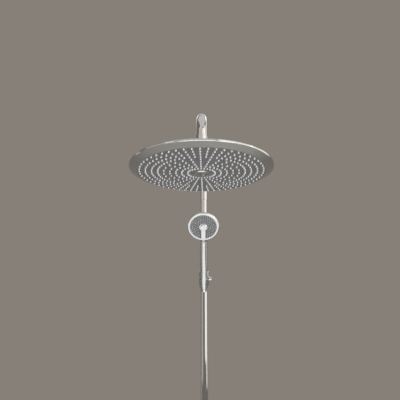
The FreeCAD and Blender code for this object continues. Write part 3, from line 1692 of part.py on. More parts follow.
def hand_nozzle_places():
    """Rings of nozzles that leave the bridge free."""
    free_width = (d.bridge_half_width + d.hand_nozzle_hole_radius + d.bridge_margin).number
    found = []
    for ring_number in range(count.hand_nozzle_ring_count):
        radius = (d.hand_nozzle_first_radius + d.hand_nozzle_pitch * ring_number).number
        number = count.hand_nozzle_first_count + count.hand_nozzle_more_count * ring_number
        for angle in ring_angles(number, FULL_TURN / 4):
            across = radius * math.cos(math.radians(angle))
            along = radius * math.sin(math.radians(angle))
            if along < 0 or abs(across) > free_width:
                found.append((across, along))
    return found


hand_spots = hand_nozzle_places()
mat_end = d.hand_face_thickness + d.hand_mat_thickness
hand_bore_length = d.hand_face_thickness + d.overrun * 2
piece("handset_face", without(
    cylinder(d.hand_face_radius, d.hand_face_thickness),
    cylinder(select_hole_radius, hand_bore_length, (ZERO, ZERO, -d.overrun)),
    fixed_shape(many_bores(hand_spots, d.hand_nozzle_hole_radius, -d.overrun, hand_bore_length)),
), hand_head_at, HAND_FACE)
hand_mat = turned([
    (d.select_radius + d.loose_clearance, d.hand_face_thickness),
    (d.hand_face_radius - d.hand_mat_edge, d.hand_face_thickness),
    (d.hand_face_radius - d.hand_mat_edge, mat_end),
    (d.select_radius + d.loose_clearance, mat_end),
])
hand_nozzles = fixed_shape(many_nozzles(
    hand_spots, d.hand_nozzle_root_radius, d.hand_nozzle_tip_radius,
    d.hand_face_thickness, d.hand_face_thickness + d.hand_nozzle_rise,
))
piece("handset_nozzles", joined(hand_mat, hand_nozzles), hand_head_at, HAND_FACE)
piece("select_button", turned(
    [
        (ZERO, -d.select_rise - d.bridge_rise),
        (d.select_radius, -d.select_rise - d.bridge_rise),
        (d.select_radius, d.select_depth),
        (ZERO, d.select_depth),
    ],
    hand_head_at,
    HAND_FACE,
    rounds=[(d.select_radius, -d.select_rise - d.bridge_rise, d.release_round)],
))


# Check of every object and export of the pieces

document.recompute()
for item in document.Objects:
    if "Invalid" in item.State or "Error" in item.State:
        raise RuntimeError(f"{item.Label} was not rebuilt: {item.State}")
os.makedirs("parts", exist_ok=True)
for name, item in pieces.items():
    if item.Shape.isNull() or not item.Shape.isValid():
        raise RuntimeError(f"{name} has no valid shape")
    item.Shape.exportStep(f"parts/{name}.step")
print(f"{len(pieces)} pieces")
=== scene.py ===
import json
import math

import bmesh
import bpy
from mathutils import Matrix, Vector


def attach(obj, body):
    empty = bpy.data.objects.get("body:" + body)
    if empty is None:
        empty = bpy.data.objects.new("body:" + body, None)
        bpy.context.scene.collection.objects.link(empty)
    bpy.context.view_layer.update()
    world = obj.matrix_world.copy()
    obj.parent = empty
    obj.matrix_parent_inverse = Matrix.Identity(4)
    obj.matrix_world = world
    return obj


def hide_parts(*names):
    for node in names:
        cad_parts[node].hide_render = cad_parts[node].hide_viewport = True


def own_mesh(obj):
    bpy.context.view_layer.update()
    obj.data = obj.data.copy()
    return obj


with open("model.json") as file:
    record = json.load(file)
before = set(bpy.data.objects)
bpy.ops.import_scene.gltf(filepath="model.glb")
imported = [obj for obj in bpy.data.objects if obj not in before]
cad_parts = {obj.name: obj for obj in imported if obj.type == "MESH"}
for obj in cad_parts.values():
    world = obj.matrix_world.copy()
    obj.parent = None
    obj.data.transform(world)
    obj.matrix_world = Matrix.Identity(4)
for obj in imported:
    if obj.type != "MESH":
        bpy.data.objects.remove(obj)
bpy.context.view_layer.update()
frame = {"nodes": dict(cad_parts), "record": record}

# Shapes are made in millimetres, each in a frame of its own, and finished pieces are in metres.
MM = 0.001
FULL_TURN = math.tau


def placed(x, y, z, turn=0.0, axis="X"):
    """A frame at a point in millimetres, turned by degrees about one of its axes."""
    return Matrix.Translation((x, y, z)) @ Matrix.Rotation(math.radians(turn), 4, axis)


# Where the pieces are

INLET_X = 75
OUTLET_X = -46
MIXER_Y, MIXER_Z = -66.0, 6.0
RISER_TOP, GRUB_LEVEL = 1033.8, 1047.8
ARM_REACH, ARM_LEVEL = 450, 1110
BALL_Y = MIXER_Y - ARM_REACH

RISER = placed(0, MIXER_Y, 0)
MIXER = placed(0, MIXER_Y, MIXER_Z)
TO_RIGHT = placed(0, MIXER_Y, MIXER_Z, 90, "Y")
TO_LEFT = placed(0, MIXER_Y, MIXER_Z, -90, "Y")
BRACKET = placed(0, 0, 938, 90)
BALL = placed(0, BALL_Y, 1004)
SLIDER_KEY = placed(0, MIXER_Y, 760, 90, "Y")
HAND = placed(0, -114.785, 748, 30)
HAND_HEAD = placed(0, -227.837, 899.813, -50)
HEAD_IN_HAND = placed(0, -22, 188, -80)
ALONG_BAR = placed(0, 0, 0, 90, "Y")


# Finishes

def linear(code):
    """An sRGB hex colour as linear red, green, blue and alpha."""
    parts = [int(code[start:start + 2], 16) / 255 for start in (1, 3, 5)]
    return [part / 12.92 if part <= 0.04045 else ((part + 0.055) / 1.055) ** 2.4 for part in parts] + [1.0]


def add(tree, kind, inputs=(), **settings):
    """Adds a node. Inputs maps a socket to a value, or to the output that feeds it."""
    node = tree.nodes.new(kind)
    for name, value in settings.items():
        setattr(node, name, value)
    for socket, value in dict(inputs).items():
        if isinstance(value, bpy.types.NodeSocket):
            tree.links.new(value, node.inputs[socket])
        else:
            node.inputs[socket].default_value = value
    return node


def per_metre(size):
    """The scale of a pattern whose marks are that many millimetres apart."""
    return 1 / (size * MM)


def new_surface(name, sockets):
    """A material with one shader, its node tree and object coordinates."""
    made = bpy.data.materials.new(name)
    made.use_nodes = True
    tree = made.node_tree
    tree.nodes.clear()
    shader = add(tree, "ShaderNodeBsdfPrincipled", sockets)
    add(tree, "ShaderNodeOutputMaterial", {"Surface": shader.outputs["BSDF"]})
    place = add(tree, "ShaderNodeTexCoord").outputs["Object"]
    return made, tree, shader, place


def vary(tree, place, size, low, high, detail=3.0):
    """A number that wanders between two values over marks of that size."""
    noise = add(tree, "ShaderNodeTexNoise", {"Vector": place, "Scale": per_metre(size), "Detail": detail})
    spread = add(tree, "ShaderNodeMapRange", {
        "Value": noise.outputs["Fac"], "From Min": 0.3, "From Max": 0.7, "To Min": low, "To Max": high,
    })
    return spread.outputs["Result"]


def tint(tree, place, size, first, second):
    """A colour that wanders between two hex colours over marks of that size."""
    mix = add(tree, "ShaderNodeMix", {
        0: vary(tree, place, size, 0.0, 1.0), 6: linear(first), 7: linear(second),
    }, data_type="RGBA")
    return mix.outputs[2]


def dent(tree, shader, height, depth):
    """Relief of a height from zero to one, that many millimetres deep."""
    bump = add(tree, "ShaderNodeBump", {"Height": height, "Distance": depth * MM, "Strength": 1.0})
    tree.links.new(bump.outputs["Normal"], shader.inputs["Normal"])


def plated(name, code, sheen, ripple_size, ripple_depth):
    """Mirror plating: soft ripples bend the reflections a little, and wiping marks dull it in places."""
    wiping_marks = 11.0
    made, tree, shader, place = new_surface(name, {"Base Color": linear(code), "Metallic": 1.0})
    tree.links.new(vary(tree, place, wiping_marks, sheen, sheen * 2.2), shader.inputs["Roughness"])
    dent(tree, shader, vary(tree, place, ripple_size, 0.0, 1.0, detail=1.0), ripple_depth)
    return made


def turned_metal(name, code, second, rough, groove, depth):
    """Bright bar stock off the lathe: fine rings round the piece, and a tone that shifts along it."""
    tone_marks, dull_marks = 6.0, 4.0
    made, tree, shader, place = new_surface(name, {"Metallic": 1.0})
    tree.links.new(tint(tree, place, tone_marks, code, second), shader.inputs["Base Color"])
    tree.links.new(vary(tree, place, dull_marks, rough, rough * 1.5), shader.inputs["Roughness"])
    rings = add(tree, "ShaderNodeTexWave", {
        "Vector": place, "Scale": per_metre(groove) / FULL_TURN * 2, "Distortion": 0.6, "Detail": 1.0,
    }, bands_direction="DIAGONAL")
    dent(tree, shader, rings.outputs["Fac"], depth)
    return made


def moulded(name, code, second, rough, grain, depth, sockets=()):
    """A moulding: the tool's fine grain breaks up its shine, and the colour is not quite even."""
    tone_marks, dull_marks = 17.0, 5.0
    made, tree, shader, place = new_surface(name, sockets)
    tree.links.new(tint(tree, place, tone_marks, code, second), shader.inputs["Base Color"])
    tree.links.new(vary(tree, place, dull_marks, rough * 0.85, rough * 1.15), shader.inputs["Roughness"])
    dent(tree, shader, vary(tree, place, grain, 0.0, 1.0, detail=2.0), depth)
    return made


FINISH = {
    # Chromium over polished brass: deep grey mirror with hard edges between light and dark
    "chrome": plated("chromium_plate_polished", "#C5C6C7", 0.045, 16.0, 0.006),
    # Chromium over moulded ABS: the same mirror, a touch cooler, with the moulding's gentle waves
    "chrome_plastic": plated("chromed_abs_moulded", "#C7C9CB", 0.06, 9.0, 0.006),
    # Brass from the lathe: warm, soft gleam in fine rings
    "brass": turned_metal("brass_turned", "#C8A468", "#B8925A", 0.24, 0.5, 0.004),
    # Drawn copper: rosy and slightly dull
    "copper": turned_metal("copper_drawn", "#C98A6B", "#B5755A", 0.3, 0.8, 0.003),
    # Stainless steel, drawn and ground: pale grey with a fine grain
    "steel": turned_metal("stainless_steel_ground", "#B9B7B3", "#A9A7A3", 0.26, 0.4, 0.003),
    # Satin moulded ABS of the spray faces: grey, soft broad shine
    "grey_plastic": moulded("abs_moulded_satin", "#6B6B6D", "#626264", 0.34, 0.7, 0.01),
    # Acetal, moulded white: milky and slightly waxy
    "white_plastic": moulded("acetal_moulded", "#E4E2DC", "#DAD8D2", 0.42, 1.1, 0.01),
    # Soft translucent silicone: bright edges where light soaks through
    "silicone": moulded("silicone_moulded", "#F1F3F5", "#E6E9EC", 0.36, 0.9, 0.008, {
        "Subsurface Weight": 0.25, "Subsurface Radius": (0.0016, 0.0016, 0.0016), "Subsurface Scale": 1.0,
    }),
    # EPDM rubber: black, nearly matt
    "rubber": moulded("epdm_moulded", "#1B1B1C", "#232324", 0.7, 0.8, 0.02),
    # Lapped alumina: ivory white and very smooth
    "ceramic": moulded("alumina_lapped", "#EDE9E0", "#E3DED4", 0.16, 2.0, 0.002),
    # Red moulded ABS of the stop buttons: clean gloss
    "red_button": moulded("abs_moulded_red", "#B0211C", "#A11D19", 0.24, 1.0, 0.006),
}
# Pad printing ink of the numerals: thin, dark and nearly matt
PRINT_BLACK = moulded("pad_print_black", "#26272A", "#303136", 0.45, 0.6, 0.004)

for part in frame["record"]["subparts"]:
    shown = frame["nodes"][part["node"]].data.materials
    shown.clear()
    shown.append(FINISH[part["material_slot"]])


# Making shapes

def of_kind(items, kind):
    """The vertices or the edges among what an operator made."""
    return [item for item in items if isinstance(item, kind)]


def sharp_edges(shape, angle):
    """The edges whose two faces meet at more than that many degrees."""
    return [
        edge for edge in shape.edges
        if len(edge.link_faces) == 2 and edge.calc_face_angle() > math.radians(angle)
    ]


def closed(shape):
    """The shape with touching corners merged and its faces pointing outwards."""
    bmesh.ops.remove_doubles(shape, verts=shape.verts, dist=0.002)
    bmesh.ops.recalc_face_normals(shape, faces=shape.faces)
    return shape


def moved(shape, frame_to):
    """The shape carried into another frame."""
    bmesh.ops.transform(shape, matrix=frame_to, verts=shape.verts)
    return shape


def turned(outline, rounds=(), steps=96):
    """A shape spun about its own Z. The outline's corners are (radius, height), and rounds says which
    corner is eased, by its number, and by how much. An outline that starts and ends on the axis stays
    open there."""
    shape = bmesh.new()
    corners = [shape.verts.new((radius, 0, height)) for radius, height in outline]
    for first, second in zip(corners, corners[1:] + corners[:1]):
        if first.co.x or second.co.x:
            shape.edges.new((first, second))
    for corner, ease in dict(rounds).items():
        bmesh.ops.bevel(
            shape, geom=[corners[corner]], offset=ease, segments=5, profile=0.5, affect="VERTICES",
            material=-1,
        )
    bmesh.ops.spin(
        shape, geom=shape.verts[:] + shape.edges[:], cent=(0, 0, 0), axis=(0, 0, 1), angle=FULL_TURN,
        steps=steps, use_merge=True,
    )
    return closed(shape)


def rod(radius, low, high, steps=64):
    """A round bar along its own Z."""
    return turned([(0, low), (radius, low), (radius, high), (0, high)], steps=steps)


def block(low, high):
    """A block between two opposite corners."""
    shape = bmesh.new()
    bmesh.ops.create_cube(shape, size=1.0)
    size = [top - bottom for bottom, top in zip(low, high)]
    middle = [(top + bottom) / 2 for bottom, top in zip(low, high)]
    bmesh.ops.scale(shape, vec=size, verts=shape.verts)
    bmesh.ops.translate(shape, vec=middle, verts=shape.verts)
    return shape


def prism(sides, radius, height):
    """A bar of equal sides along its own Z."""
    shape = bmesh.new()
    bmesh.ops.create_circle(shape, cap_ends=True, segments=sides, radius=radius)
    made = bmesh.ops.extrude_face_region(shape, geom=shape.faces[:])["geom"]
    bmesh.ops.translate(shape, vec=(0, 0, height), verts=of_kind(made, bmesh.types.BMVert))
    return closed(shape)


def as_mesh(name, shape):
    """The shape as mesh data. The shape itself is used up."""
    mesh = bpy.data.meshes.new(name)
    shape.to_mesh(mesh)
    shape.free()
    return mesh


def linked(name, data):
    """An object of the scene that holds the data."""
    made = bpy.data.objects.new(name, data)
    bpy.context.scene.collection.objects.link(made)
    return made


def together(first, *others):
    """Several closed shapes in one mesh."""
    for other in others:
        mesh = as_mesh("part", other)
        first.from_mesh(mesh)
        bpy.data.meshes.remove(mesh)
    return first


def as_shown(made):
    """The shape that an object's settings and modifiers give."""
    bpy.context.view_layer.update()
    shape = bmesh.new()
    shape.from_mesh(made.evaluated_get(bpy.context.evaluated_depsgraph_get()).to_mesh())
    return shape


def taken_back(blank, *tools):
    """The shape that an object's modifiers make of it. The object and its tools go."""
    shape = as_shown(blank)
    for made in [blank, *tools]:
        mesh = made.data
        bpy.data.objects.remove(made)
        bpy.data.meshes.remove(mesh)
    return shape


def worked(base, *steps):
    """Base after other shapes are joined on ("UNION"), cut out ("DIFFERENCE") or kept common ("INTERSECT"),
    in that order."""
    blank = linked("blank", as_mesh("blank", base))
    tools = []
    for operation, shape in steps:
        tool = linked("tool", as_mesh("tool", shape))
        tools.append(tool)
        step = blank.modifiers.new("step", "BOOLEAN")
        step.object = tool
        step.operation = operation
        step.solver = "EXACT"
    return closed(taken_back(blank, *tools))


def eased(shape, ease, sharp=40):
    """The shape with its sharp edges broken."""
    bmesh.ops.dissolve_degenerate(shape, edges=shape.edges, dist=0.01)
    bmesh.ops.bevel(
        shape, geom=sharp_edges(shape, sharp), offset=ease, segments=2, profile=0.5, affect="EDGES",
        material=-1, clamp_overlap=True,
    )
    return closed(shape)


def from_solid(node, flat=1.0):
    """A merged copy of a node's mesh, in millimetres, with flat regions as single faces."""
    shape = bmesh.new()
    shape.from_mesh(frame["nodes"][node].data)
    bmesh.ops.scale(shape, vec=(1 / MM,) * 3, verts=shape.verts)
    bmesh.ops.remove_doubles(shape, verts=shape.verts, dist=0.005)
    bmesh.ops.dissolve_limit(
        shape, angle_limit=math.radians(flat), verts=shape.verts, edges=shape.edges,
        use_dissolve_boundaries=False,
    )
    return shape


# The half-inch pipe thread of the inlets and of the hose's two ends
HALF_INCH = {"crest": 10.48, "depth": 0.88, "pitch": 1.8}


def thread(crest, depth, pitch, turns, start):
    """A helical ridge that winds up from a start height, with its foot sunk into the core."""
    steps, sunk = 48, 0.3
    foot = crest - depth - sunk
    shape = bmesh.new()
    corners = [(foot, start), (crest, start + pitch / 2), (foot, start + pitch * 0.94)]
    tooth = shape.faces.new([shape.verts.new((radius, 0, height)) for radius, height in corners])
    bmesh.ops.spin(
        shape, geom=[tooth], cent=(0, 0, 0), axis=(0, 0, 1), dvec=(0, 0, pitch / steps),
        angle=FULL_TURN * turns, steps=int(steps * turns),
    )
    bmesh.ops.recalc_face_normals(shape, faces=shape.faces)
    return shape


def piece(name, shape, body, slot, replaced=(), at=None, material=None):
    """Makes a shape an object in metres that rides on its body and takes its finish from a slot."""
    crease = 30
    place = Matrix.Scale(MM, 4) @ (at or Matrix.Identity(4))
    bmesh.ops.transform(shape, matrix=place, verts=shape.verts)
    for face in shape.faces:
        face.smooth = True
    for edge in sharp_edges(shape, crease):
        edge.smooth = False
    mesh = as_mesh(name, shape)
    mesh.materials.append(material or FINISH[slot])
    made = linked(name, mesh)
    made.modifiers.new("even_shading", "WEIGHTED_NORMAL").keep_sharp = True
    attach(made, body)
    if replaced:
        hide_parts(*replaced)
    return made


# Mixer: a bar with two inlet stubs, a boss for the riser and a threaded hose outlet

barrel = turned(
    [(0, -92), (21, -92), (21, -88.6), (20.75, -88.4), (20.75, -88.0), (21, -87.8),
     (21, 87.8), (20.75, 88.0), (20.75, 88.4), (21, 88.6), (21, 92), (0, 92)],
    rounds={1: 1.2, 10: 1.2}, steps=128,
)
outlet = placed(OUTLET_X, 0, 0, 180)
outlet_boss = turned([(0, 0), (14, 0), (14, 26), (9.6, 26), (9.6, 38), (0, 38)], rounds={2: 0.8, 4: 0.8})
inlets = [placed(side, 0, 0, -90) for side in (INLET_X, -INLET_X)]
mixer = worked(
    moved(barrel, ALONG_BAR),
    *[("UNION", moved(rod(13.2, 0, 38), inlet)) for inlet in inlets],
    ("UNION", rod(13.2, 0, 37)),
    ("UNION", moved(outlet_boss, outlet)),
    *[("DIFFERENCE", moved(rod(16, 30, 94), placed(0, 0, 0, turn, "Y"))) for turn in (90, -90)],
    *[("DIFFERENCE", moved(rod(9, 0, 40), inlet)) for inlet in inlets],
    ("DIFFERENCE", rod(8, 0, 40)),
    ("DIFFERENCE", moved(rod(6, 0, 40), outlet)),
    ("DIFFERENCE", moved(rod(7, -32, 32), ALONG_BAR)),
)
mixer = together(mixer, moved(thread(turns=6.2, start=26.3, **HALF_INCH), outlet))
piece("mixer_bar", mixer, "fixed", "chrome", ["mixer_body"], MIXER)


def on_both_sides(make):
    """The same shape at the cold inlet and, mirrored, at the hot inlet."""
    first = moved(make(), placed(INLET_X, 0, 0))
    second = moved(make(), placed(INLET_X, 0, 0))
    bmesh.ops.scale(second, vec=(-1, 1, 1), verts=second.verts)
    return together(first, closed(second))


def wall_union():
    """A union from the wall's thread to the collar that the nut pulls in. Its own Z runs into the wall."""
    body = turned(
        [(7.5, -25.5), (12.3, -25.5), (12.3, -22.5), (10.5, -22.5), (10.5, -9.2), (14, -9.2), (14, -1.2),
         (9.6, -1.2), (9.6, 20), (7.5, 20)],
        rounds={1: 0.4, 2: 0.4, 5: 0.5, 6: 0.5, 8: 0.8}, steps=72,
    )
    return together(body, thread(turns=10.6, start=-0.4, **HALF_INCH))


def union_nut():
    """A hexagon nut with turned chamfers. Its own Z runs into the wall."""
    length = 20
    envelope = turned([(0, 0), (15.2, 0), (17.4, 1.5), (17.4, 18.5), (15.2, length), (0, length)])
    nut = worked(
        prism(6, 17.3, length),
        ("INTERSECT", envelope),
        ("DIFFERENCE", rod(10.8, -1, length + 1)),
        ("DIFFERENCE", rod(13.3, -1, 17)),
    )
    return moved(eased(nut, 0.25, 25), placed(0, 0, -39.5))


def rosette(radius, edge, shoulder, depth, hole):
    """A pressed cover: flat on the wall at its edge, and raised to its shoulder round the hole."""
    wall = 1.8
    return turned(
        [(hole, depth), (shoulder, depth), (radius, edge), (radius, 0), (radius - wall, 0),
         (radius - wall, edge - 0.4), (shoulder - wall / 2, depth - wall), (hole, depth - wall)],
        rounds={0: 0.3, 1: 3.0, 2: 1.5, 3: 0.3},
    )


def wall_cover():
    """The rosette that hides an inlet's hole in the wall."""
    return rosette(radius=32, edge=2, shoulder=23, depth=11, hole=10.8)


into_wall = placed(0, 0, MIXER_Z, -90)
into_room = placed(0, 0, MIXER_Z, 90)
piece("union_tails", on_both_sides(wall_union), "fixed", "chrome", ["s_unions"], into_wall)
piece("union_hexagons", on_both_sides(union_nut), "fixed", "chrome", ["union_nuts"], into_wall)
piece("wall_covers", on_both_sides(wall_cover), "fixed", "chrome", ["wall_rosettes"], into_room)


# Handles: fluted cups on the ends of the bar, whose own Z runs out along it

HANDLE_RADIUS = 22.5
HANDLE_FLUTES = 36
FLUTES_FROM, FLUTES_TO = 117.5, 131.5
PRINT_RADIUS = 22.52
BUTTON_IN_HANDLE = placed(0, 0, 107.5, 90)


def fluted(shape, radius, count, depth, low, high):
    """Presses shallow flutes into the wall of a turned shape between two heights, where they run out."""
    near, fullness, run_out = 0.05, 0.8, 2.0
    for vert in shape.verts:
        across = math.hypot(vert.co.x, vert.co.y)
        if abs(across - radius) > near or not low <= vert.co.z <= high:
            continue
        phase = math.atan2(vert.co.y, vert.co.x) * count
        wave = max(0.0, math.cos(phase)) ** fullness
        ends = min(1.0, (vert.co.z - low) / run_out, (high - vert.co.z) / run_out)
        shrink = 1 - depth * wave * math.sqrt(max(0.0, ends)) / across
        vert.co.x *= shrink
        vert.co.y *= shrink


def cup():
    """A handle: the fluted wall, the closed end with its shallow ring, and the socket for the spindle."""
    levels = 12
    wall = [
        (HANDLE_RADIUS, FLUTES_FROM + (FLUTES_TO - FLUTES_FROM) * number / levels)
        for number in range(levels + 1)
    ]
    outline = [
        (20.3, 93.5), (HANDLE_RADIUS, 93.5), *wall, (HANDLE_RADIUS, 139.5), (17.2, 139.5), (16.6, 139.1),
        (15.8, 139.1), (15.2, 139.5), (0, 139.5), (0, 113.1), (5.1, 113.1), (5.1, 105), (8, 105),
        (8, 136.5), (20.3, 136.5),
    ]
    end_corner = len(wall) + 2
    shape = turned(outline, rounds={1: 0.5, end_corner: 1.6}, steps=HANDLE_FLUTES * 8)
    fluted(shape, HANDLE_RADIUS, HANDLE_FLUTES, 0.7, FLUTES_FROM, FLUTES_TO)
    return worked(shape, ("DIFFERENCE", moved(rod(4.15, 8, 30, steps=48), BUTTON_IN_HANDLE)))


def stop_key():
    """A round stop button, domed a little, with the flange that keeps it in."""
    return turned(
        [(0, 24.9), (2.4, 24.9), (4, 24.4), (4, 19.3), (5.2, 19.3), (5.2, 18.1), (0, 18.1)],
        rounds={1: 1.2, 2: 0.5}, steps=48,
    )


def wrapped(words, height, radius, turn, level):
    """Lettering laid round a cylinder, with its middle at that turn and level."""
    curve = bpy.data.curves.new("words", "FONT")
    curve.body = words
    curve.size = height
    curve.align_x, curve.align_y = "CENTER", "CENTER"
    curve.extrude = 0.05
    blank = linked("words", curve)
    shape = as_shown(blank)
    bpy.data.objects.remove(blank)
    bpy.data.curves.remove(curve)
    for vert in shape.verts:
        angle = math.radians(turn) + vert.co.x / radius
        out = radius + vert.co.z
        vert.co = (out * math.cos(angle), out * math.sin(angle), level + vert.co.y)
    return shape


def tick(radius, half_width, low, high, turn):
    """A printed stroke along a cylinder's side."""
    ink = 0.04
    stroke = block((radius - ink, -half_width, low), (radius + ink, half_width, high))
    return moved(stroke, placed(0, 0, 0, turn, "Z"))


for word, at in (("temp", TO_RIGHT), ("flow", TO_LEFT)):
    piece(f"{word}_grip", cup(), word, "chrome_plastic", [f"{word}_handle"], at)
for word, at in (("safety", TO_RIGHT), ("eco", TO_LEFT)):
    key = moved(stop_key(), BUTTON_IN_HANDLE)
    piece(f"{word}_stop_key", key, f"{word}_key", "red_button", [f"{word}_button"], at)

NUMERALS = {"20": -150, "30": -120, "38": -90, "45": -60, "50": -30}
marks = together(
    *[wrapped(words, 4.4, PRINT_RADIUS, turn, 98.6) for words, turn in NUMERALS.items()],
    *[tick(HANDLE_RADIUS, 0.2, 94.4, 95.8, turn) for turn in NUMERALS.values()],
)
piece("temp_numerals", marks, "temp", "chrome_plastic", at=TO_RIGHT, material=PRINT_BLACK)
index = tick(21.0, 0.3, 89.2, 91.0, -90)
piece("index_mark", index, "fixed", "chrome", at=TO_RIGHT, material=PRINT_BLACK)


# Riser, its nut, the swivel socket and the wall bracket

riser_tube = turned([(10, 44.5), (12.8, 44.5), (12.8, 47), (11, 47), (11, RISER_TOP), (10, RISER_TOP)])
piece("riser_tube", riser_tube, "fixed", "chrome", ["riser_pipe"], RISER)
collar_nut = turned(
    [(13.3, 29), (16.5, 29), (16.5, 32), (16.1, 32.4), (16.1, 33.2), (16.5, 33.6), (16.5, 50), (11.1, 50),
     (11.1, 47), (13.3, 47)],
    rounds={1: 0.6, 6: 1.6, 7: 0.3},
)
piece("riser_collar_nut", collar_nut, "fixed", "chrome", ["riser_nut"], RISER)
sleeve = turned(
    [(11.1, 1021.8), (12.4, 1021.8), (12.4, 1054.2), (12.15, 1054.45), (12.15, 1054.85), (12.4, 1055.1),
     (12.4, 1057.8), (9.6, 1057.8), (9.6, 1035.8), (8, 1035.8), (8, RISER_TOP), (11.1, RISER_TOP)],
    rounds={1: 0.8, 6: 0.3},
)
grub_hole = turned([(0, 9), (2.1, 9), (2.1, 11.9), (2.8, 12.6), (0, 12.6)], steps=32)
sleeve = worked(sleeve, ("DIFFERENCE", moved(grub_hole, placed(0, 0, GRUB_LEVEL, -90))))
piece("socket_sleeve", sleeve, "fixed", "chrome", ["swivel_socket"], RISER)

piece("bracket_neck", eased(from_solid("bracket_arm"), 0.5), "fixed", "chrome", ["bracket_arm"])
bracket_cover = rosette(radius=25, edge=2, shoulder=19, depth=7.8, hole=11.3)
piece("bracket_cover", bracket_cover, "fixed", "chrome", ["bracket_rosette"], BRACKET)
wall_screw = turned(
    [(0, -34), (1.7, -29), (1.7, 0), (1.9, 0), (1.9, 13.4), (4.6, 13.4), (4.6, 16), (2.6, 16), (2.2, 14.2),
     (0, 14.2)],
    rounds={1: 1.0, 6: 0.5}, steps=32,
)
wall_screw = together(wall_screw, thread(crest=2.4, depth=0.75, pitch=1.9, turns=15.0, start=-30.5))
piece("wall_screw", wall_screw, "fixed", "steel", ["bracket_screw"], BRACKET)

grub = worked(rod(2, 8.7, 12.3, steps=24), ("DIFFERENCE", moved(prism(6, 1.15, 2.4), placed(0, 0, 10.6))))
grub_at = placed(0, MIXER_Y, GRUB_LEVEL, -90)
piece("swivel_grub_screw", grub, "fixed", "steel", ["lock_screw"], grub_at)


# Overhead arm: one tube up from the socket, round two bends and down to the ball joint

TUBE_RADIUS, TUBE_WALL = 11, 1.2
# Levels of the tube's lower ends, and the radii of its bends
ARM_START, ARM_END = 1059, 1030
REAR_BEND, FRONT_BEND = 36, 55


def open_end(made):
    """The edges of the tube's open end among what an operator made."""
    return [edge for edge in of_kind(made, bmesh.types.BMEdge) if len(edge.link_faces) == 1]


def run_on(tube, end, travel):
    """Carries the tube's open end straight on."""
    made = bmesh.ops.extrude_edge_only(tube, edges=end)["geom"]
    bmesh.ops.translate(tube, vec=travel, verts=of_kind(made, bmesh.types.BMVert))
    return open_end(made)


def bend_on(tube, end, centre, steps):
    """Carries the open end round a quarter turn about an axis along X."""
    made = bmesh.ops.spin(tube, geom=end, cent=centre, axis=(1, 0, 0), angle=FULL_TURN / 4, steps=steps)
    return open_end(made["geom_last"])


tube = bmesh.new()
bmesh.ops.create_circle(tube, segments=64, radius=TUBE_RADIUS)
bmesh.ops.translate(tube, vec=(0, MIXER_Y, ARM_START), verts=tube.verts)
end = run_on(tube, tube.edges[:], (0, 0, ARM_LEVEL - REAR_BEND - ARM_START))
end = bend_on(tube, end, (0, MIXER_Y - REAR_BEND, ARM_LEVEL - REAR_BEND), 20)
end = run_on(tube, end, (0, -(ARM_REACH - REAR_BEND - FRONT_BEND), 0))
end = bend_on(tube, end, (0, BALL_Y + FRONT_BEND, ARM_LEVEL - FRONT_BEND), 28)
run_on(tube, end, (0, 0, ARM_END - (ARM_LEVEL - FRONT_BEND)))
closed(tube)
bmesh.ops.solidify(tube, geom=tube.faces[:], thickness=TUBE_WALL)
piece("overhead_arm", tube, "arm", "chrome", ["arm_tube"])
arm_sleeve = turned(
    [(10.3, 15.5), (12.5, 15.5), (12.5, 20.2), (12.2, 20.5), (12.2, 20.9), (12.5, 21.2), (12.5, 43),
     (11.1, 43), (11.1, 26), (10.3, 26)],
    rounds={1: 0.8, 6: 0.8},
)
piece("arm_sleeve", arm_sleeve, "arm", "chrome", ["arm_end_sleeve"], BALL)


# Rain head, from the ball joint down

COLLAR_RADIUS = 18.6
COLLAR_FLUTES = 24
SOCKET_RADIUS = 15.06
BEZEL_RADIUS = 150

collar_wall = [(COLLAR_RADIUS, 5 - 2.0 * number) for number in range(10)]
cavity = [
    (SOCKET_RADIUS * math.cos(math.radians(angle)), SOCKET_RADIUS * math.sin(math.radians(angle)))
    for angle in range(-3, 36, 3)
]
collar = turned(
    [(12.2, 11), (COLLAR_RADIUS, 11), *collar_wall, (COLLAR_RADIUS, -17), (16.1, -17), (16.1, -0.8),
     *cavity, (12.2, 8.85)],
    rounds={0: 0.4, 1: 1.6, len(collar_wall) + 2: 1.0}, steps=COLLAR_FLUTES * 10,
)
fluted(collar, COLLAR_RADIUS, COLLAR_FLUTES, 0.5, collar_wall[-1][1], collar_wall[0][1])
piece("ball_collar", collar, "head", "chrome", ["ball_nut"], BALL)
head_shell = turned(
    [(6, -9.3), (16, -9.3), (16, -17), (20, -17), (27, -24), (75, -27.5), (BEZEL_RADIUS, -33),
     (BEZEL_RADIUS, -34), (135.1, -34), (135.1, -32.6), (75, -29.5), (27, -27), (8, -27), (8, -24.6),
     (6, -24.6)],
    rounds={3: 0.8, 4: 5.0, 5: 8.0, 6: 0.8}, steps=192,
)
piece("head_shell", head_shell, "head", "chrome_plastic", ["head_cover"], BALL)
head_bezel = turned(
    [(BEZEL_RADIUS, -34), (BEZEL_RADIUS, -36.6), (135, -42.6), (133, -42.6), (133, -41.4), (135.1, -41.4),
     (135.1, -34)],
    rounds={0: 0.25, 1: 1.0, 2: 0.5, 3: 0.3}, steps=192,
)
piece("head_bezel", head_bezel, "head", "chrome_plastic", ["head_rim"], BALL)
hub_cap = turned([(0, -44.6), (12.6, -44.6), (15, -42.2), (15, -41.4), (0, -41.4)], rounds={1: 1.4, 2: 0.4})
piece("hub_cap", hub_cap, "head", "chrome", ["centre_hub"], BALL)


def nozzle(root, tip, low, high, bore):
    """A soft nozzle that points down, with its bore."""
    bore_end = low + 1.6
    return turned(
        [(0, high), (root, high), (tip, low), (bore, low), (bore * 0.8, bore_end), (0, bore_end)],
        rounds={2: 0.2}, steps=14,
    )


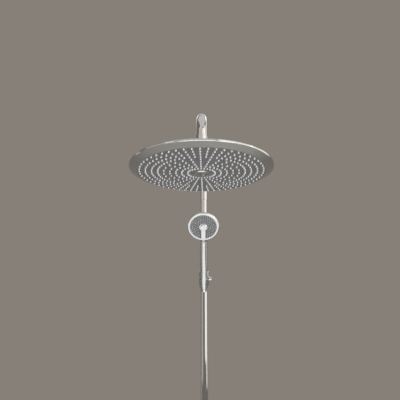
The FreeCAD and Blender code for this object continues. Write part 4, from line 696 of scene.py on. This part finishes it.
def repeated(shape, spots):
    """Copies of a shape at every spot, in one mesh."""
    mesh = as_mesh("one", shape)
    field = bmesh.new()
    for across, along in spots:
        field.from_mesh(mesh)
        made = field.verts[-len(mesh.vertices):]
        bmesh.ops.translate(field, vec=(across, along, 0), verts=made)
    bpy.data.meshes.remove(mesh)
    return field


def ring_spots(radius, count, first=0.0):
    """Even spots on a ring, from a first angle on."""
    step = FULL_TURN / count
    return [
        (radius * math.cos(first + step * number), radius * math.sin(first + step * number))
        for number in range(count)
    ]


ROWS = 28
RINGS, RINGS_WITHOUT_SHORT_ROWS = 9, 5
FIRST_RING, RING_STEP = 29, 12.5

spots = []
for number in range(RINGS):
    radius = FIRST_RING + RING_STEP * number
    spots += ring_spots(radius, ROWS)
    if number >= RINGS_WITHOUT_SHORT_ROWS:
        spots += ring_spots(radius, ROWS, FULL_TURN / ROWS / 2)
mat = together(
    turned([(5.7, -37.1), (134, -37.1), (134, -38.9), (5.7, -38.9)]),
    repeated(nozzle(root=2.0, tip=1.5, low=-44.0, high=-38.8, bore=0.7), spots),
)
piece("nozzle_field", mat, "head", "silicone", ["nozzle_mat"], BALL)


# Slider and hand holder

slider_sleeve = eased(from_solid("slider_body"), 0.5)
piece("slider_sleeve", slider_sleeve, "slider", "chrome_plastic", ["slider_body"])
release_key = turned(
    [(0, 17.9), (6, 17.9), (6, 24), (3.5, 24), (0, 23.5)], rounds={2: 0.9, 3: 0.8}, steps=64
)
piece("release_key", release_key, "slider_key", "chrome_plastic", ["slider_button"], SLIDER_KEY)
holder_fork = eased(from_solid("hand_holder"), 0.6)
piece("holder_fork", holder_fork, "holder", "chrome_plastic", ["hand_holder"])


# Hand shower: a grip that runs into the dished back of the head

# Corners of the grip's side, as radius and height
GRIP = [(10.3, -21), (12.3, 14), (11.4, 40), (9.8, 168)]
GRIP_TOP = 178
HAND_IN_HEAD = HEAD_IN_HAND.inverted()
BACK_FOOT, BACK_TOP = 3, 20.6
# A slope of the back: how its outward normal leans, and a point on it, both as radius and height
BACK_SLOPE = ((0.39, 0.921), (41, 10))
BACK_SIDE = ((0.832, 0.555), (45, 4))
# Over how many millimetres one surface runs into the next
NECK_BLEND, CROWN_BLEND, SIDE_BLEND = 9.0, 9.0, 5.0
WATER_WAY = 7.5


def off_grip(point):
    """How far a point lies outside the grip's skin, negative inside."""
    end_radius, end = GRIP[-1]
    if point.z > end:
        return math.hypot(point.x, point.y, point.z - end) - end_radius
    across = math.hypot(point.x, point.y)
    for (wide, low), (narrow, high) in zip(GRIP, GRIP[1:]):
        if point.z <= high:
            return across - wide - (narrow - wide) * (point.z - low) / (high - low)


def off_slope(across, height, slope):
    """How far a point lies outside a slope of the back."""
    (lean_out, lean_up), (radius, level) = slope
    return lean_out * (across - radius) + lean_up * (height - level)


def soft_least(first, second, blend):
    """The lesser of two distances, with the step from one to the other rounded."""
    overlap = max(blend - abs(first - second), 0.0) / blend
    return min(first, second) - overlap * overlap * blend / 4


def off_back(point):
    """How far a point lies outside the dished back of the head."""
    point = HAND_IN_HEAD @ point
    across = math.hypot(point.x, point.y)
    slope = off_slope(across, point.z, BACK_SLOPE)
    side = off_slope(across, point.z, BACK_SIDE)
    inside = soft_least(-side, soft_least(-slope, BACK_TOP - point.z, CROWN_BLEND), SIDE_BLEND)
    return max(BACK_FOOT - point.z, -inside)


def off_shell(point):
    """How far a point lies outside grip and back, with a smooth neck between them."""
    return soft_least(off_grip(point), off_back(point), NECK_BLEND)


def draped(shape, spacing, distance):
    """An evenly meshed copy of a shape, with each corner moved to where the distance is nought."""
    blank = linked("blank", as_mesh("blank", shape))
    remesh = blank.modifiers.new("even", "REMESH")
    remesh.mode = "VOXEL"
    remesh.voxel_size = spacing
    skin = taken_back(blank)
    near, rounds, least_rise = 0.05, 4, 0.2
    for vert in skin.verts:
        for _ in range(rounds):
            here = distance(vert.co)
            rise = Vector([
                (distance(vert.co + Vector([near * (axis == way) for axis in range(3)])) - here) / near
                for way in range(3)
            ])
            vert.co -= rise * (here / max(rise.length_squared, least_rise))
    return skin


grip = turned([(0, GRIP[0][1]), *GRIP, (0, GRIP_TOP)], steps=48)
back = turned([(0, BACK_FOOT), (45.7, BACK_FOOT), (41, 10), (15, BACK_TOP), (0, BACK_TOP)])
ring_room = turned([(0, -46), (46.1, -46), (46.1, 4), (0, 4)], steps=128)
hollow = turned(
    [(0, BACK_FOOT), (43, BACK_FOOT), (38, 7.5), (12, 16.5), (0, 16.5)], rounds={2: 3.0, 3: 3.0}, steps=64
)
hand_shell = draped(worked(grip, ("UNION", moved(back, HEAD_IN_HAND))), 1.0, off_shell)
hand_shell = worked(
    hand_shell,
    ("DIFFERENCE", moved(ring_room, HEAD_IN_HAND)),
    ("DIFFERENCE", moved(hollow, HEAD_IN_HAND)),
    ("DIFFERENCE", rod(WATER_WAY, -30, GRIP[-1][1])),
    ("DIFFERENCE", rod(14, -30, -17)),
)
piece("hand_shell", hand_shell, "handset", "chrome_plastic", ["handset_shell"], HAND)
hose_thread = together(
    turned([(5.5, -29), (9.6, -29), (9.6, -17), (7.4, -17), (7.4, -3), (5.5, -3)], rounds={0: 0.4, 1: 0.6}),
    thread(turns=5.7, start=-28.8, **HALF_INCH),
)
piece("hose_thread", hose_thread, "handset", "chrome", ["hose_nipple"], HAND)

# Face of the hand shower: the ring with its bridge, the nozzles and the select button

hand_ring = turned(
    [(46, 4), (46, 1.2), (43.8, -1), (38.5, -1), (38.5, 0), (39.6, 0), (39.6, 4)],
    rounds={0: 0.3, 1: 1.2, 2: 0.8, 3: 0.3}, steps=128,
)
bridge = worked(
    turned([(0, 0), (12, 0), (12, -2.4), (0, -2.4)], rounds={2: 0.7}),
    ("UNION", block((-6, 0, -2.4), (6, 40.7, 0))),
    ("DIFFERENCE", rod(9.1, -4, 4)),
)
hand_bezel = worked(hand_ring, ("UNION", bridge))
piece("hand_bezel", hand_bezel, "handset", "chrome_plastic", ["handset_ring"], HAND_HEAD)

HAND_RINGS = 5
HAND_FIRST_RING, HAND_RING_STEP = 15.5, 5.2
FIRST_RING_NOZZLES, MORE_NOZZLES = 12, 6
CLEAR_OF_BRIDGE = 8.4

hand_spots = []
for number in range(HAND_RINGS):
    radius = HAND_FIRST_RING + HAND_RING_STEP * number
    hand_spots += [
        (across, along)
        for across, along in ring_spots(radius, FIRST_RING_NOZZLES + MORE_NOZZLES * number, FULL_TURN / 4)
        if along < 0 or abs(across) > CLEAR_OF_BRIDGE
    ]
hand_mat = together(
    turned([(9.3, 2.4), (38.5, 2.4), (38.5, 4.0), (9.3, 4.0)]),
    repeated(nozzle(root=1.2, tip=0.8, low=-1.8, high=2.5, bore=0.35), hand_spots),
)
piece("hand_nozzle_field", hand_mat, "handset", "silicone", ["handset_nozzles"], HAND_HEAD)
select_cap = turned([(0, -4.7), (6.4, -5.2), (9, -5.2), (9, 7), (0, 7)], rounds={1: 0.8, 2: 0.8})
piece("select_key_cap", select_cap, "select_key", "chrome_plastic", ["select_button"], HAND_HEAD)


# Springs inside the mixer

def coil_spring(name, node):
    """A wire spring: a merged copy of the node's mesh in steel, on the fixed body, with a mesh of its own.
    """
    made = piece(name, from_solid(node, 0.1), "fixed", "steel", [node])
    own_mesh(made)


coil_spring("check_coil_cold", "valve_spring_cold")
coil_spring("check_coil_hot", "valve_spring_hot")
coil_spring("return_coil", "thermo_spring")


# Floor, backdrop, lamps and camera, in metres

BACKDROP = "#878078"
FLOOR_LEVEL = -1.05

floor = bmesh.new()
bmesh.ops.create_grid(floor, x_segments=8, y_segments=8, size=9.0)
bmesh.ops.translate(floor, vec=(0, 0, FLOOR_LEVEL), verts=floor.verts)
floor_mesh = as_mesh("floor", floor)
linked("floor", floor_mesh)

# Floated screed: pale and matt, with slow cloudy patches. Far off, it goes over into the backdrop.
floor_finish, tree, shader, place = new_surface("screed_floated", {"Roughness": 0.7})
tree.links.new(tint(tree, place, 300.0, "#C9C5BD", "#C2BEB6"), shader.inputs["Base Color"])
distance = add(tree, "ShaderNodeVectorMath", {0: place}, operation="LENGTH").outputs["Value"]
far = add(tree, "ShaderNodeMapRange", {
    "Value": distance, "From Min": 1.6, "From Max": 4.5,
}, interpolation_type="SMOOTHSTEP")
haze = add(tree, "ShaderNodeEmission", {"Color": linear(BACKDROP), "Strength": 1.0})
blend = add(tree, "ShaderNodeMixShader", {
    0: far.outputs["Result"], 1: shader.outputs["BSDF"], 2: haze.outputs["Emission"],
})
output = next(node for node in tree.nodes if node.type == "OUTPUT_MATERIAL")
tree.links.new(blend.outputs["Shader"], output.inputs["Surface"])
floor_mesh.materials.append(floor_finish)

# The world shows the backdrop's tone, also in metal, and lights the object with a paler fill.
world = bpy.data.worlds.new("studio")
bpy.context.scene.world = world
world.use_nodes = True
tree = world.node_tree
tree.nodes.clear()
rays = add(tree, "ShaderNodeLightPath").outputs
seen = add(tree, "ShaderNodeMath", {0: rays["Is Camera Ray"], 1: rays["Is Glossy Ray"]}, operation="ADD")
seen = add(tree, "ShaderNodeMath", {
    0: seen.outputs[0], 1: rays["Is Transmission Ray"],
}, operation="ADD", use_clamp=True)
backdrop = add(tree, "ShaderNodeBackground", {"Color": linear(BACKDROP), "Strength": 1.0})
fill = add(tree, "ShaderNodeBackground", {"Color": linear("#E9EAEC"), "Strength": 0.55})
both = add(tree, "ShaderNodeMixShader", {0: seen.outputs[0], 1: fill.outputs[0], 2: backdrop.outputs[0]})
add(tree, "ShaderNodeOutputWorld", {"Surface": both.outputs[0]})


def lamp(name, place, target, width, height, radiance, colour):
    """A soft box that faces a point. Radiance is how bright its face is, with 1 as white."""
    data = bpy.data.lights.new(name, "AREA")
    data.shape = "RECTANGLE"
    data.size, data.size_y = width, height
    data.energy = radiance * math.pi * width * height
    data.color = linear(colour)[:3]
    made = linked(name, data)
    made.location = place
    made.rotation_euler = (Vector(target) - Vector(place)).to_track_quat("-Z", "Y").to_euler()
    made.visible_camera = False


WARM, NEUTRAL, COOL = "#FFFAF2", "#FFFFFF", "#FAFDFF"
lamp("key_box", (1.75, -1.75, 1.25), (0, -0.3, 0.85), 2.2, 2.5, 1.3, WARM)
lamp("right_box", (2.3, -0.1, 1.25), (0, -0.3, 0.75), 1.8, 3.0, 1.15, WARM)
lamp("front_box", (-0.6, -2.6, 1.8), (0, -0.4, 0.9), 3.2, 1.9, 0.55, WARM)
lamp("left_box", (-2.05, -1.5, 0.95), (0, -0.3, 0.85), 2.0, 2.2, 0.4, WARM)
lamp("left_strip", (-2.1, 0.1, 0.8), (0, -0.2, 0.75), 0.2, 2.0, 1.2, NEUTRAL)
lamp("top_box", (0.35, -0.8, 2.7), (0.3, -0.6, 0.9), 2.8, 2.7, 0.6, NEUTRAL)
lamp("rear_top_box", (0.2, 1.3, 2.3), (0, -0.3, 0.9), 1.8, 0.8, 1.4, NEUTRAL)
lamp("low_box", (0.4, -2.3, -0.95), (0.4, -2.3, 1.0), 3.2, 1.1, 4.2, COOL)
lamp("low_near_box", (0.2, -1.15, -0.97), (0.2, -1.15, 1.0), 3.2, 1.1, 0.9, COOL)

camera = bpy.data.cameras.new("camera")
camera.sensor_width = 36.0
camera.lens = 30.56
camera_object = linked("camera", camera)
camera_object.location = (0.0124, -1.1915, 0.7233)
camera_object.rotation_euler = (math.pi / 2 + 0.2606, 0.0, 0.0227)
bpy.context.scene.camera = camera_object
bpy.context.scene.view_settings.view_transform = "Standard"
